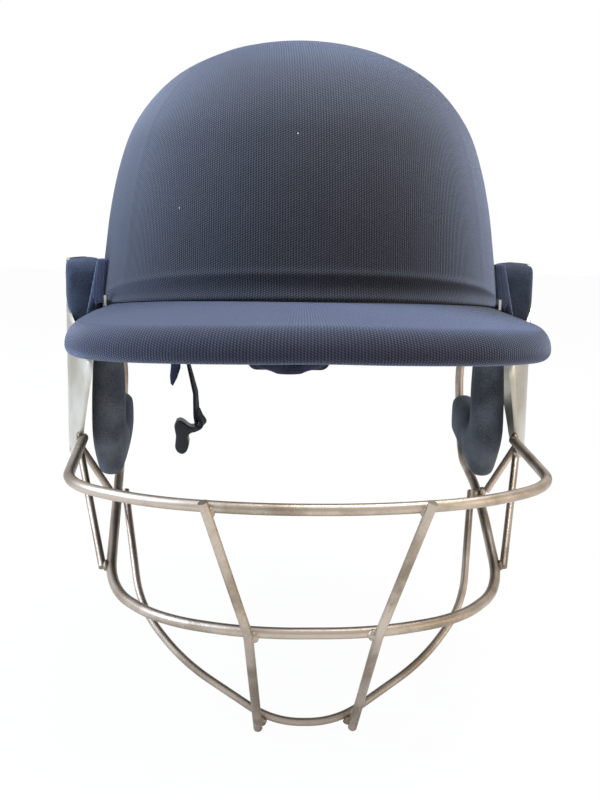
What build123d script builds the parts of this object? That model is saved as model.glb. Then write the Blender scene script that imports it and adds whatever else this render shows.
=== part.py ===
from build123d import *
from math import cos, pi, radians, sin, sqrt, tan
import os

os.makedirs("parts", exist_ok=True)

# The frame: +X to the wearer's left, -Y out of the face, +Z up.
# The origin is the middle of the head opening, a little under the brow seam.

# Dome of the shell: outer form of the cloth, halves measured at the level of the ears' tops
dome_half_width = 99.6
dome_half_length = 128.0
dome_height = 124.0
dome_centre_y = 6.0
dome_front_y = dome_centre_y - dome_half_length
dome_back_y = dome_centre_y + dome_half_length
# Radius and height of the dome's outline, from the crown down, as shares of half width and height
outline_shares = [
    (0.265, 0.985),
    (0.450, 0.940),
    (0.657, 0.848),
    (0.778, 0.750),
    (0.857, 0.653),
    (0.923, 0.508),
    (0.965, 0.362),
    (1.000, 0.165),
    (1.030, -0.060),
    (1.032, -0.150),
    (0.985, -0.340),
]
outline_foot_share = (0.900, -0.560)

# Layers of the dome, from the outside in
cloth_thickness = 0.9
shell_thickness = 3.0
liner_thickness = 10.6
pad_thickness = 6.2
layer_gap = 0.2
soft_gap = 0.3
weld_sink = 0.3
overrun = 60.0

# Rim: its height at the brow, temple, ear and nape, and where it turns
brow_z = 4.5
brow_reach = 2.0
brow_y = dome_front_y - brow_reach
temple_z = -4.0
temple_y = -45.0
ear_z = -14.0
ear_front_y = -28.0
ear_rear_y = 38.0
nape_z = -30.0
nape_inset = 39.0
nape_y = dome_back_y - nape_inset

# Edging of the rim
edging_thickness = 0.8
edging_height = 6.0
edging_web = 1.4
edging_front_y = -36.0

# Comfort pads
crown_pad_radius = 38.0
front_pad_half_width = 52.0
front_pad_low_z = -10.0
front_pad_high_z = 26.0
side_pad_front_y = -44.0
side_pad_rear_y = 34.0
side_pad_low_z = -11.0
side_pad_high_z = 44.0
rear_pad_half_width = 46.0
rear_pad_low_z = -8.0
rear_pad_high_z = 36.0

# Flap of cover cloth in front of each temple, from its top down to its tip
flap_top_z = 17.3
flap_tip_z = -12.0
flap_notch_z = -1.0
flap_top_inset = 0.3
flap_tip_stand_out = 5.9
flap_notch_inset = 0.2
flap_root_inset = 9.6
flap_front_y = -41.0
flap_thickness = 3.0
# Outer edge of the flap, as shares of its way out and of its drop
flap_edge_shares = [(0.25, 0.24), (0.60, 0.60)]

# Peak
peak_overhang = 6.4
peak_half_width = dome_half_width + peak_overhang
peak_projection = 50.0
peak_front_y = dome_front_y - peak_projection
peak_rear_y = -53.0
peak_thickness = 14.5
peak_rounding = 5.5
peak_root_centre_z = 14.0
peak_root_droop = 31.0
peak_lip_centre_z = -3.5
peak_lip_droop = 9.5
peak_root_y = -40.0
# Right half of the peak's edge seen from above, from the middle of the lip back, as shares of
# its half width and of its reach from rear end to lip
peak_edge_shares = [
    (0.25, 0.992),
    (0.49, 0.940),
    (0.74, 0.822),
    (0.90, 0.675),
    (0.98, 0.500),
    (1.00, 0.300),
]
peak_tail_share = 0.985

# Ear plates: sheets bent to a round about an upright axis
plate_stand_out = 17.4
plate_out_x = dome_half_width + plate_stand_out
plate_bend_radius = 50.0
plate_centre_y = -20.0
plate_thickness = 1.5
plate_corner_radius = 9.0
plate_top_z = 16.5
plate_top_front_y = -27.0
plate_brow_z = -3.0
plate_top_rear_y = 9.0
plate_neck_z = -17.0
plate_neck_y = -47.5
plate_front_z = -33.0
plate_front_y = -56.0
plate_waist_z = -30.0
plate_rear_y = 10.0
plate_foot_z = -80.0
plate_foot_front_y = -46.5
plate_foot_rear_y = -8.0

# Temple pads fill the room between shell and plate
temple_pad_inset = 1.6
temple_pad_front_y = -37.6
temple_pad_foot_z = -15.0
temple_pad_corner_radius = 8.0

# Ear pads
ear_pad_tuck = 10.1
ear_pad_inner_x = dome_half_width - ear_pad_tuck
ear_pad_thickness = 13.0
ear_pad_rounding = 5.5
ear_pad_corner_radius = 7.0
ear_pad_top_z = ear_z - edging_web - soft_gap
ear_pad_front_y = -41.0
ear_pad_column_rear_y = -17.0
ear_pad_notch_z = -64.0
ear_pad_lobe_rear_y = 39.0
ear_pad_lobe_top_z = -60.0
ear_pad_lobe_foot_z = -84.0
ear_pad_tip_y = -25.0
ear_pad_tip_z = -95.0
ear_pad_chin_z = -74.0

# Grille rods
bar_radius = 2.35
thin_radius = 1.8
upright_radius = 2.0
upright_bend_radius = 15.0
run_share = 0.45
top_bar_z = -70.0
top_bar_projection = 56.5
top_bar_front_y = dome_front_y - top_bar_projection
top_bar_middle_x = 22.0
top_bar_side_x = 64.0
top_bar_side_set_back = 10.5
top_bar_side_y = top_bar_front_y + top_bar_side_set_back
top_bar_corner_stand_out = 1.0
top_bar_corner_x = dome_half_width + top_bar_corner_stand_out
top_bar_corner_set_back = 38.5
top_bar_corner_y = top_bar_front_y + top_bar_corner_set_back
top_bar_end_y = -45.0
middle_bar_z = -125.0
middle_bar_projection = 40.5
middle_bar_front_y = dome_front_y - middle_bar_projection
middle_bar_middle_x = 24.0
middle_bar_side_x = 62.0
middle_bar_side_set_back = 15.5
middle_bar_side_y = middle_bar_front_y + middle_bar_side_set_back
middle_bar_corner_inset = 12.6
middle_bar_corner_x = dome_half_width - middle_bar_corner_inset
middle_bar_corner_set_back = 52.5
middle_bar_corner_y = middle_bar_front_y + middle_bar_corner_set_back
crossing_inset = 9.1
crossing_x = dome_half_width - crossing_inset
crossing_y = -42.0
crossing_z = -97.0
wire_turn_inset = 1.1
wire_turn_x = dome_half_width - wire_turn_inset
wire_rear_y = 48.0
wire_waist_inset = 3.6
wire_waist_x = dome_half_width - wire_waist_inset
wire_waist_z = -45.0
wire_shoulder_z = -19.0
wire_top_stand_out = 2.7
wire_top_x = dome_half_width + wire_top_stand_out
chin_bar_set_back = 2.0
chin_bar_front_y = dome_front_y + chin_bar_set_back
chin_bar_front_z = -183.0
chin_bar_middle_x = 14.0
chin_bar_side_x = 55.0
chin_bar_side_drop_share = 0.76
chin_bar_corner_x = 76.0
chin_bar_corner_drop_share = 0.53
upright_top_x = 43.5
upright_top_rise = 2.5
upright_middle_x = 26.0
upright_foot_x = 21.0
upright_foot_drop = 2.5
strut_top_y = -40.0
strut_top_z = -73.0
strut_foot_y = -96.0
brace_top_y = -34.5
brace_top_z = -73.0

# Fasteners of the grille
screw_radius = 2.0
screw_clearance = 0.2
screw_head_radius = 4.2
screw_head_height = 1.3
screw_slot_width = 1.0
screw_slot_depth = 0.6
nut_radius = 3.6
nut_length = 3.0
nut_pocket_clearance = 0.8
plate_screw_y = -12.0
plate_screw_upper_z = 8.0
plate_screw_lower_z = -4.0
wire_screw_z = 2.0
eyelet_radius = 6.5
eyelet_thickness = 2.4
eyelet_stand_out = 1.0
eyelet_x = dome_half_width + eyelet_stand_out

# Clips between shell and peak
clip_length = 7.0
clip_thickness = 1.2
clip_y = -58.0
clip_rise = 5.0

# Nape adjuster
adjuster_z = -46.0
housing_half_width = 26.0
housing_inset = 25.0
housing_front_y = dome_back_y - housing_inset
housing_depth = 8.0
housing_top_z = -34.5
housing_foot_z = -57.0
housing_corner_radius = 6.0
housing_wall = 1.6
cover_depth = 1.6
tongue_half_width = 12.0
tongue_thickness = 2.2
tongue_top_z = -14.0
stud_radius = 3.0
stud_depth = 7.0
stud_z = -21.0
module_size = 2 / 3
pinion_teeth = 12
tooth_height_share = 0.6
tooth_root_share = 0.9
tooth_top_share = 0.34
tooth_foot_share = 0.66
band_thickness = 2.6
band_back_height = 3.2
band_length = 44.0
band_inner_x = 12.0
running_clearance = 0.05
slide_clearance = 0.3
dial_shaft_radius = 2.2
dial_radius = 11.0
dial_length = 7.0
dial_knurls = 18
dial_knurl_radius = 1.1
nape_pad_half_width = 32.0
nape_pad_depth = 8.0
nape_pad_top_z = -32.5
nape_pad_foot_z = -61.0
nape_pad_foot_radius = 44.0
nape_pad_rounding = 3.0

# Chin strap: two anchors under the rim, a long half on the right of the face, a short one with a receiver
anchor_inset = 33.6
anchor_x = dome_half_width - anchor_inset
anchor_y = 85.0
anchor_top_z = -31.2
anchor_thickness = 2.2
anchor_half_width = 6.0
anchor_half_length = 8.5
anchor_stud_radius = 2.5
anchor_stud_length = 12.0
pin_radius = 1.3
pin_drop = 5.2
pin_offset = 4.0
pin_x = anchor_x - pin_offset
lug_thickness = 1.6
lug_half_width = 2.6
strap_thickness = 1.6
strap_width = 13.0
strap_loop_clearance = 0.1
strap_knee_lean = 4.5
strap_knee_x = pin_x - strap_knee_lean
strap_knee_z = -68.0
strap_foot_lean = 7.5
strap_foot_x = pin_x - strap_foot_lean
strap_foot_z = -86.5
tip_loop_radius = 2.4
tip_pin_radius = 1.0
tip_reach_x = 11.0
tip_width = 7.4
tip_half_height = 9.0
tip_depth = 14.0
tip_rounding = 2.4
tip_drop = 6.0
receiver_length = 7.0
receiver_thickness = 4.6
receiver_width = 14.0
receiver_rounding = 1.6
short_strap_length = 2.6
tab_width = 5.6
tab_length = 30.0
tab_thickness = 1.2
tab_offset = 4.5
tab_x = anchor_x + tab_offset


def dome(inset):
    """The left half of the helmet's solid form, drawn in on all sides by inset."""
    half_width = dome_half_width - inset
    half_length = dome_half_length - inset
    height = dome_height - inset
    points = [(0, 0, height)]
    for radius_share, height_share in outline_shares:
        points.append((0, -radius_share * half_width, height_share * height))
    foot = (0, -outline_foot_share[0] * half_width, outline_foot_share[1] * height)
    points.append(foot)
    outline = Spline(*points, tangents=[(0, -1, 0), (0, 0.35, -1)])
    floor = Line(foot, (0, 0, foot[2]))
    axis = Line((0, 0, foot[2]), (0, 0, height))
    half = make_face([outline, floor, axis])
    turned = revolve(half, axis=Axis.Z, revolution_arc=180)
    stretched = scale(turned, by=(1, half_length / half_width, 1))
    return Pos(0, dome_centre_y, 0) * stretched


def side_prism(points, half_span, radius=None):
    """A solid with an outline in the side plane, spread by half_span to both sides."""
    spots = [(y, z) for y, z in points]
    if radius is None:
        outline = Polyline(*spots, close=True)
    else:
        outline = FilletPolyline(*spots, radius=radius, close=True)
    face = Plane.YZ * make_face(outline)
    return extrude(face, amount=half_span, both=True)


far_y = dome_half_length + overrun
far_z = dome_height + overrun
span_x = dome_half_width + overrun


def above_rim(shift=0):
    """The room above the rim of shell and liner, moved up by shift."""
    return side_prism(
        [
            (-far_y, ear_z + shift),
            (ear_rear_y, ear_z + shift),
            (nape_y, nape_z + shift),
            (far_y, nape_z + shift),
            (far_y, far_z),
            (-far_y, far_z),
        ],
        span_x,
    )


def above_seam():
    """The room above the hem of the cloth, which rises over the peak to the brow."""
    slope = (brow_z - temple_z) / (temple_y - brow_y)
    return side_prism(
        [
            (-far_y, brow_z + slope * (far_y + brow_y)),
            (temple_y, temple_z),
            (ear_front_y, ear_z),
            (ear_rear_y, ear_z),
            (nape_y, nape_z),
            (far_y, nape_z),
            (far_y, far_z),
            (-far_y, far_z),
        ],
        span_x,
    )


def box_between(low, high):
    """A box from its lowest to its highest corner."""
    size = [b - a for a, b in zip(low, high)]
    middle = [(a + b) / 2 for a, b in zip(low, high)]
    return Pos(*middle) * Box(*size)


def bent_rod(points, radius, bend=None):
    """A round rod along straight runs, joined by arcs of radius bend or as large as the runs allow."""
    route = [Vector(*point) for point in points]
    radii = []
    for before, here, after in zip(route, route[1:], route[2:]):
        arriving = here - before
        leaving = after - here
        turn = radians(arriving.get_angle(leaving))
        widest = run_share * min(arriving.length, leaving.length) / tan(turn / 2)
        radii.append(bend or widest)
    path = FilletPolyline(*route, radius=radii) if radii else Line(*route)
    start = Plane(origin=path @ 0, z_dir=path % 0)
    return sweep(start * Circle(radius), path=path)


def rod_through(points, radius):
    """The same rod, given from the middle outwards and repeated on the other side."""
    other = [(-x, y, z) for x, y, z in reversed(points)]
    return bent_rod(other + points, radius)


def cross_pin(y, z, radius, low_x, high_x):
    """A round pin along X, its own seam on top."""
    return Pos((low_x + high_x) / 2, y, z) * Rot(0, -90, 0) * Cylinder(radius, high_x - low_x)


def plate_x(y, depth=0):
    """How far out the ear plate's face lies at y, depth being measured inwards."""
    reach = plate_bend_radius - depth
    return plate_out_x - plate_bend_radius + sqrt(reach**2 - (y - plate_centre_y) ** 2)


def other_side(shape):
    """The mirror image on the helmet's other side."""
    return mirror(shape, about=Plane.YZ)


def both_halves(half):
    """A whole piece from its left half."""
    return half + other_side(half)


pieces = {}


def keep(name, shape, both=False):
    """Record a piece, and its mirror image where it comes in pairs."""
    if both:
        pieces[name + "_left"] = shape
        pieces[name + "_right"] = other_side(shape)
    else:
        pieces[name] = shape


# Insets of the layers
shell_out = cloth_thickness + layer_gap
shell_in = shell_out + shell_thickness
liner_out = shell_in + layer_gap
liner_in = liner_out + liner_thickness
pad_out = liner_in + soft_gap
pad_in = pad_out + pad_thickness

dome_cloth = dome(0)
dome_shell_out = dome(shell_out)
dome_liner_in = dome(liner_in)
rim_room = above_rim()

# Screws that hold the grille: along X at the plates and at the rear wires
plate_screw_spots = [(plate_screw_y, plate_screw_upper_z), (plate_screw_y, plate_screw_lower_z)]
screw_spots = plate_screw_spots + [(wire_rear_y, wire_screw_z)]


def drill(shape, radius):
    """Holes along X at every grille screw, on the helmet's left side."""
    for y, z in screw_spots:
        shape = shape - cross_pin(y, z, radius, dome_half_width / 2, span_x)
    return shape


# Cloth cover, shell and liner
hole = screw_radius + screw_clearance
cover = (dome_cloth - dome(cloth_thickness)) & above_seam()
keep("shell_cover", both_halves(drill(cover, hole)))
shell_body = (dome_shell_out - dome(shell_in)) & rim_room
keep("shell", both_halves(drill(shell_body, hole)))
liner = (dome(liner_out) - dome_liner_in) & rim_room
liner = drill(liner, nut_radius + nut_pocket_clearance)
socket = Cylinder(anchor_stud_radius + screw_clearance, 2 * (anchor_stud_length + soft_gap))
liner = liner - Pos(anchor_x, anchor_y, anchor_top_z) * socket
back_of_liner = dome_centre_y + (dome_half_length - liner_in)
stud_hole = Rot(90, 0, 0) * Cylinder(stud_radius + screw_clearance, 2 * stud_depth)
liner = liner - Pos(0, back_of_liner, stud_z) * stud_hole
keep("foam_liner", both_halves(liner))

# Comfort pads, each a piece of one soft layer
pad_layer = dome(pad_out) - dome(pad_in)
crown_room = Pos(0, dome_centre_y, dome_height / 2 + overrun) * Cylinder(
    crown_pad_radius, dome_height
)
keep("crown_pad", both_halves(pad_layer & crown_room))
front_room = box_between(
    (-front_pad_half_width, -far_y, front_pad_low_z),
    (front_pad_half_width, side_pad_front_y - dome_centre_y, front_pad_high_z),
)
keep("front_pad", both_halves(pad_layer & front_room))
side_room = box_between(
    (0, side_pad_front_y, side_pad_low_z), (span_x, side_pad_rear_y, side_pad_high_z)
)
keep("side_pad", pad_layer & side_room, both=True)
rear_room = box_between(
    (-rear_pad_half_width, side_pad_rear_y + dome_centre_y, rear_pad_low_z),
    (rear_pad_half_width, far_y, rear_pad_high_z),
)
keep("rear_pad", both_halves(pad_layer & rear_room))

# Edging round the ears and the nape: a leg over the cloth and a web under the rim
edging_room = box_between((-span_x, edging_front_y, -far_z), (span_x, far_y, far_z))
edging_ring = (dome(-edging_thickness - layer_gap) - dome(liner_out)) & edging_room
edging_band = edging_ring & (above_rim(-edging_web) - above_rim(edging_height))
keep("rim_edging", both_halves(edging_band - (dome(-layer_gap) & above_rim(-layer_gap))))


# Peak: a thick curved band cut to its outline and to the shell
def peak_section(y, centre_z, droop):
    """The band's cross-section at y."""
    edge_x = peak_half_width + peak_thickness
    foot_z = centre_z - peak_thickness
    upper = ThreePointArc((-edge_x, y, centre_z - droop), (0, y, centre_z), (edge_x, y, centre_z - droop))
    lower = ThreePointArc((edge_x, y, foot_z - droop), (0, y, foot_z), (-edge_x, y, foot_z - droop))
    return make_face([upper, Line(upper @ 1, lower @ 0), lower, Line(lower @ 1, upper @ 0)])


def peak_top(x, y):
    """The height of the peak's upper face at x and y."""
    edge_x = peak_half_width + peak_thickness
    lip_y = peak_front_y - peak_thickness
    share = (y - peak_root_y) / (lip_y - peak_root_y)
    centre_z = peak_root_centre_z + share * (peak_lip_centre_z - peak_root_centre_z)
    droop = peak_root_droop + share * (peak_lip_droop - peak_root_droop)
    arc_radius = (edge_x**2 + droop**2) / (2 * droop)
    return centre_z - arc_radius + sqrt(arc_radius**2 - x**2)


root_section = peak_section(peak_root_y, peak_root_centre_z, peak_root_droop)
lip_section = peak_section(peak_front_y - peak_thickness, peak_lip_centre_z, peak_lip_droop)
peak_reach = peak_front_y - peak_rear_y
half_edge = [(x * peak_half_width, peak_rear_y + y * peak_reach) for x, y in peak_edge_shares]
peak_tail = (peak_tail_share * peak_half_width, peak_rear_y)
peak_edge = Spline(
    (-peak_tail[0], peak_tail[1]),
    *[(-x, y) for x, y in reversed(half_edge)],
    (0, peak_front_y),
    *half_edge,
    peak_tail,
)
peak_outline = make_face([peak_edge, Line(peak_tail, (-peak_tail[0], peak_tail[1]))])
peak_body = loft([root_section, lip_section], ruled=True) & extrude(
    peak_outline, amount=dome_height, both=True
)
lip_edges = [edge for edge in peak_body.edges() if edge.bounding_box().min.Y < brow_y]
peak_body = fillet(lip_edges, peak_rounding) & box_between((0, -far_y, -far_z), (span_x, far_y, far_z))
keep("peak", both_halves(peak_body - dome(shell_out - soft_gap)))

# Ear plates
plate_axis_x = plate_out_x - plate_bend_radius


def plate_round(depth):
    """The upright round whose outside is the plate's face, taken in by depth."""
    return Pos(plate_axis_x, plate_centre_y, 0) * Cylinder(plate_bend_radius - depth, 2 * far_z)


def plate_outline(inset, foot_z):
    """The plate's outline seen from the side, taken in all round."""
    return [
        (plate_top_front_y + inset, plate_top_z - inset),
        (plate_top_rear_y - inset, plate_top_z - inset),
        (plate_rear_y - inset, plate_waist_z),
        (plate_foot_rear_y - inset, foot_z + inset),
        (plate_foot_front_y + inset, foot_z + inset),
        (plate_front_y + inset, plate_front_z),
        (plate_neck_y + inset, plate_neck_z),
        (plate_top_front_y + inset, plate_brow_z),
    ]


outside = box_between((plate_axis_x, -far_y, -far_z), (span_x, far_y, far_z))
plate_side = side_prism(plate_outline(0, plate_foot_z), span_x, radius=plate_corner_radius)
plate = (plate_round(0) - plate_round(plate_thickness)) & plate_side & outside
keep("ear_plate", drill(plate, hole), both=True)

# Flap of cloth in front of each temple pad
flap_top_x = dome_half_width - flap_top_inset
flap_tip_x = dome_half_width + flap_tip_stand_out
flap_edge = [
    (flap_top_x + out * (flap_tip_x - flap_top_x), flap_top_z + drop * (flap_tip_z - flap_top_z))
    for out, drop in flap_edge_shares
]
flap_root_x = dome_half_width - flap_root_inset
flap_line = Polyline(
    (flap_root_x, flap_top_z),
    (flap_top_x, flap_top_z),
    *flap_edge,
    (flap_tip_x, flap_tip_z),
    (dome_half_width - flap_notch_inset, flap_notch_z),
    (flap_root_x, flap_notch_z),
    close=True,
)
flap_plane = Plane(origin=(0, flap_front_y, 0), x_dir=(1, 0, 0), z_dir=(0, -1, 0))
flap = extrude(flap_plane * make_face(flap_line), amount=-flap_thickness)
keep("side_flap", flap - dome(-soft_gap), both=True)

# Temple pads between plate and shell
pad_side = side_prism(
    [
        (temple_pad_front_y, plate_top_z),
        (plate_top_rear_y - temple_pad_inset, plate_top_z),
        (plate_top_rear_y - temple_pad_inset, temple_pad_foot_z),
        (temple_pad_front_y, temple_pad_foot_z),
    ],
    span_x,
    radius=[temple_pad_corner_radius, temple_pad_corner_radius, temple_pad_inset, temple_pad_inset],
)
plate_side_grown = side_prism(plate_outline(-layer_gap, plate_foot_z), span_x, radius=plate_corner_radius)
plate_room = (plate_round(-layer_gap) - plate_round(plate_thickness + layer_gap)) & plate_side_grown & outside
temple_pad = (plate_round(0) & pad_side & outside) - dome(-edging_thickness - layer_gap - soft_gap)
temple_pad = temple_pad - plate_room
for y, z in plate_screw_spots:
    temple_pad = temple_pad - cross_pin(y, z, hole, 0, span_x)
keep("temple_pad", temple_pad, both=True)

# Ear pads: a column with a lobe to the rear, rounded all along both faces
ear_pad_line = FilletPolyline(
    (ear_pad_front_y, ear_pad_top_z),
    (ear_pad_column_rear_y, ear_pad_top_z),
    (ear_pad_column_rear_y, ear_pad_notch_z),
    (ear_pad_lobe_rear_y, ear_pad_lobe_top_z),
    (ear_pad_lobe_rear_y, ear_pad_lobe_foot_z),
    (ear_pad_tip_y, ear_pad_tip_z),
    (ear_pad_front_y, ear_pad_chin_z),
    radius=ear_pad_corner_radius,
    close=True,
)
ear_pad_face = Plane.YZ.offset(ear_pad_inner_x) * make_face(ear_pad_line)
ear_pad = extrude(ear_pad_face, amount=ear_pad_thickness)
flat_faces = ear_pad.faces().sort_by(Axis.X)
ear_pad = fillet(flat_faces[0].edges() + flat_faces[-1].edges(), ear_pad_rounding)
keep("ear_pad", ear_pad, both=True)

# Grille
top_bar_end_x = plate_x(top_bar_end_y, plate_thickness) - bar_radius + weld_sink
top_bar = rod_through(
    [
        (top_bar_middle_x, top_bar_front_y, top_bar_z),
        (top_bar_side_x, top_bar_side_y, top_bar_z),
        (top_bar_corner_x, top_bar_corner_y, top_bar_z),
        (top_bar_end_x, top_bar_end_y, top_bar_z),
    ],
    bar_radius,
)
top_bar = top_bar - plate - other_side(plate)
keep("grille_top_bar", top_bar)

wire_end_z = wire_screw_z - eyelet_radius + eyelet_thickness / 2
middle_bar = rod_through(
    [
        (middle_bar_middle_x, middle_bar_front_y, middle_bar_z),
        (middle_bar_side_x, middle_bar_side_y, middle_bar_z),
        (middle_bar_corner_x, middle_bar_corner_y, middle_bar_z),
        (crossing_x, crossing_y, crossing_z),
        (wire_turn_x, wire_rear_y, crossing_z),
        (wire_waist_x, wire_rear_y, wire_waist_z),
        (wire_top_x, wire_rear_y, wire_shoulder_z),
        (wire_top_x, wire_rear_y, wire_end_z),
    ],
    bar_radius,
)
eyelet_in_x = eyelet_x - eyelet_thickness / 2
eyelet = cross_pin(wire_rear_y, wire_screw_z, eyelet_radius, eyelet_in_x, eyelet_in_x + eyelet_thickness)
middle_bar = middle_bar + eyelet + other_side(eyelet)
wire_hole = cross_pin(wire_rear_y, wire_screw_z, hole, dome_half_width / 2, span_x)
keep("grille_middle_bar", middle_bar - wire_hole - other_side(wire_hole))

# The chin bar hangs in a slanting plane under the crossing
chin_top_x = crossing_x - bar_radius - thin_radius + weld_sink
chin_depth = crossing_z - chin_bar_front_z
chin_reach = crossing_y - chin_bar_front_y


def chin_point(x, drop_share):
    """A point of the chin bar at x, its drop a share of the way to the front."""
    return (x, crossing_y - drop_share * chin_reach, crossing_z - drop_share * chin_depth)


chin_bar = rod_through(
    [
        chin_point(chin_bar_middle_x, 1),
        chin_point(chin_bar_side_x, chin_bar_side_drop_share),
        chin_point(chin_bar_corner_x, chin_bar_corner_drop_share),
        chin_point(chin_top_x, 0),
    ],
    thin_radius,
)
keep("grille_chin_bar", chin_bar)


# Uprights stand in front of the bars, welded to them
def upright_point(bar, x, z):
    """A point of the left upright at x and z, in front of the bar there."""
    slice_x = bar & box_between((x, -far_y, -2 * far_z), (x + thin_radius, far_y, 0))
    return (x, slice_x.bounding_box().min.Y - upright_radius + weld_sink, z)


upright = bent_rod(
    [
        upright_point(top_bar, upright_top_x, top_bar_z + upright_top_rise),
        upright_point(middle_bar, upright_middle_x, middle_bar_z),
        upright_point(chin_bar, upright_foot_x, chin_bar_front_z - upright_foot_drop),
    ],
    upright_radius,
    upright_bend_radius,
)
keep("grille_upright", upright - top_bar - middle_bar - chin_bar, both=True)

# Struts and braces from the plate's foot
strut_top_x = plate_x(strut_top_y, plate_thickness) - thin_radius + weld_sink
arm_share = (strut_foot_y - middle_bar_corner_y) / (crossing_y - middle_bar_corner_y)
arm_x = middle_bar_corner_x + arm_share * (crossing_x - middle_bar_corner_x)
arm_z = middle_bar_z + arm_share * (crossing_z - middle_bar_z)
strut = bent_rod(
    [
        (strut_top_x, strut_top_y, strut_top_z),
        (arm_x + bar_radius + thin_radius - weld_sink, strut_foot_y, arm_z),
    ],
    thin_radius,
)
keep("grille_strut", strut - plate - middle_bar, both=True)
brace_top_x = plate_x(brace_top_y, plate_thickness) - thin_radius + weld_sink
brace = bent_rod(
    [
        (brace_top_x, brace_top_y, brace_top_z),
        (crossing_x + bar_radius + thin_radius - weld_sink, crossing_y, crossing_z),
    ],
    thin_radius,
)
keep("grille_brace", brace - plate - middle_bar, both=True)


# Screws and nuts of the grille
def slotted_screw(y, z, seat_x, nut_x):
    """A low-headed screw along X from its seat to the middle of its nut."""
    shank = cross_pin(y, z, screw_radius, nut_x, seat_x + screw_head_height / 2)
    head = cross_pin(y, z, screw_head_radius, seat_x, seat_x + screw_head_height)
    slot = box_between(
        (seat_x + screw_head_height - screw_slot_depth, y - screw_slot_width / 2, z - screw_head_radius),
        (seat_x + overrun, y + screw_slot_width / 2, z + screw_head_radius),
    )
    return shank + head - slot


def hex_nut(y, z, face_x):
    """A six-sided nut along X, its outer face at face_x."""
    sketch = Plane.YZ.offset(face_x - nut_length) * Pos(y, z) * RegularPolygon(nut_radius, 6)
    bore = cross_pin(y, z, screw_radius + running_clearance, 0, span_x)
    return extrude(sketch, amount=nut_length) - bore


def wall_x(inset, y, z):
    """How far out a layer's face lies at y and z, measured on the solid."""
    low = (0, y - nut_radius, z - nut_radius)
    slot = box_between(low, (span_x, y + nut_radius, z + nut_radius))
    return (dome(inset) & slot).faces().sort_by(Axis.X)[-1].bounding_box().min.X


plate_screws = []
plate_nuts = []
for y, z in plate_screw_spots:
    nut_x = wall_x(shell_in, y, z) - layer_gap
    seat_x = max(plate_x(y - screw_head_radius), plate_x(y + screw_head_radius)) + layer_gap
    plate_screws.append(slotted_screw(y, z, seat_x, nut_x - nut_length))
    plate_nuts.append(hex_nut(y, z, nut_x))
plate_screws = plate_screws + [other_side(s) for s in plate_screws]
plate_nuts = plate_nuts + [other_side(n) for n in plate_nuts]
keep("plate_screws", Compound(plate_screws))
keep("plate_nuts", Compound(plate_nuts))

wire_nut_x = wall_x(shell_in, wire_rear_y, wire_screw_z) - layer_gap
wire_seat_x = eyelet_x + eyelet_thickness / 2
wire_screw = slotted_screw(wire_rear_y, wire_screw_z, wire_seat_x, wire_nut_x - nut_length)
wire_nut = hex_nut(wire_rear_y, wire_screw_z, wire_nut_x)
keep("wire_screws", Compound([wire_screw, other_side(wire_screw)]))
keep("wire_nuts", Compound([wire_nut, other_side(wire_nut)]))

# Clips that tie the peak's ends to the shell
clip_slot = box_between(
    (0, clip_y, temple_z - clip_rise), (span_x, clip_y + clip_length, temple_z + clip_rise)
)
clip_x = (dome(0) & clip_slot).bounding_box().max.X + soft_gap
peak_top_z = peak_top(clip_x, clip_y + clip_length / 2) + soft_gap
clip_foot = (clip_x, clip_y, peak_top_z)
clip = box_between(clip_foot, (clip_x + clip_thickness, clip_y + clip_length, peak_top_z + clip_rise))
keep("peak_clip", clip, both=True)

# Nape adjuster
pitch_radius = module_size * pinion_teeth / 2
tooth_pitch = pi * module_size
tooth_height = tooth_height_share * module_size
tooth_root = tooth_root_share * module_size
housing_rear_y = housing_front_y + housing_depth
band_front_y = housing_front_y + housing_wall
band_rear_y = band_front_y + band_thickness
band_low = pitch_radius + tooth_root
band_high = band_low + band_back_height


def tooth(root_half, tip_half, root, tip):
    """One tooth, drawn upwards from its root to its tip."""
    return make_face(
        Polyline((-root_half, root), (root_half, root), (tip_half, tip), (-tip_half, tip), close=True)
    )


tip_half = tooth_top_share * tooth_pitch / 2
foot_half = tooth_foot_share * tooth_pitch / 2
pinion_face = Circle(pitch_radius - tooth_root)
for index in range(pinion_teeth):
    sunk = pitch_radius - tooth_root - tooth_height / 2
    one = tooth(foot_half, tip_half, sunk, pitch_radius + tooth_height)
    pinion_face = pinion_face + Rot(0, 0, index * 360 / pinion_teeth) * one
facing_rear = Plane(origin=(0, band_front_y, adjuster_z), x_dir=(1, 0, 0), z_dir=(0, 1, 0))
pinion = extrude(facing_rear * pinion_face, amount=band_thickness)
shaft_length = housing_rear_y + cover_depth + dial_length / 2 - band_front_y
shaft = extrude(facing_rear * Circle(dial_shaft_radius), amount=shaft_length)
keep("nape_pinion", pinion + shaft)

band_teeth = 2 * round(band_inner_x / tooth_pitch)
band_face = make_face(
    Polyline(
        (-band_inner_x, band_low),
        (band_length, band_low),
        (band_length, band_high),
        (-band_inner_x, band_high),
        close=True,
    )
)
band_face = fillet(band_face.vertices().sort_by(Axis.X)[-2:], band_back_height / 3)
for index in range(band_teeth):
    centre_x = (index - band_teeth / 2 + 0.5) * tooth_pitch
    one = tooth(foot_half, tip_half, -tooth_root - tooth_height / 2, tooth_height)
    band_face = band_face + Pos(centre_x, pitch_radius) * Rot(0, 0, 180) * one
facing_front = Plane(origin=(0, band_rear_y, adjuster_z), x_dir=(1, 0, 0), z_dir=(0, -1, 0))
band = extrude(facing_front * band_face, amount=band_thickness)
keep("nape_band_left", band)
keep("nape_band_right", Pos(0, 0, adjuster_z) * Rot(0, 180, 0) * Pos(0, 0, -adjuster_z) * band)

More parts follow.
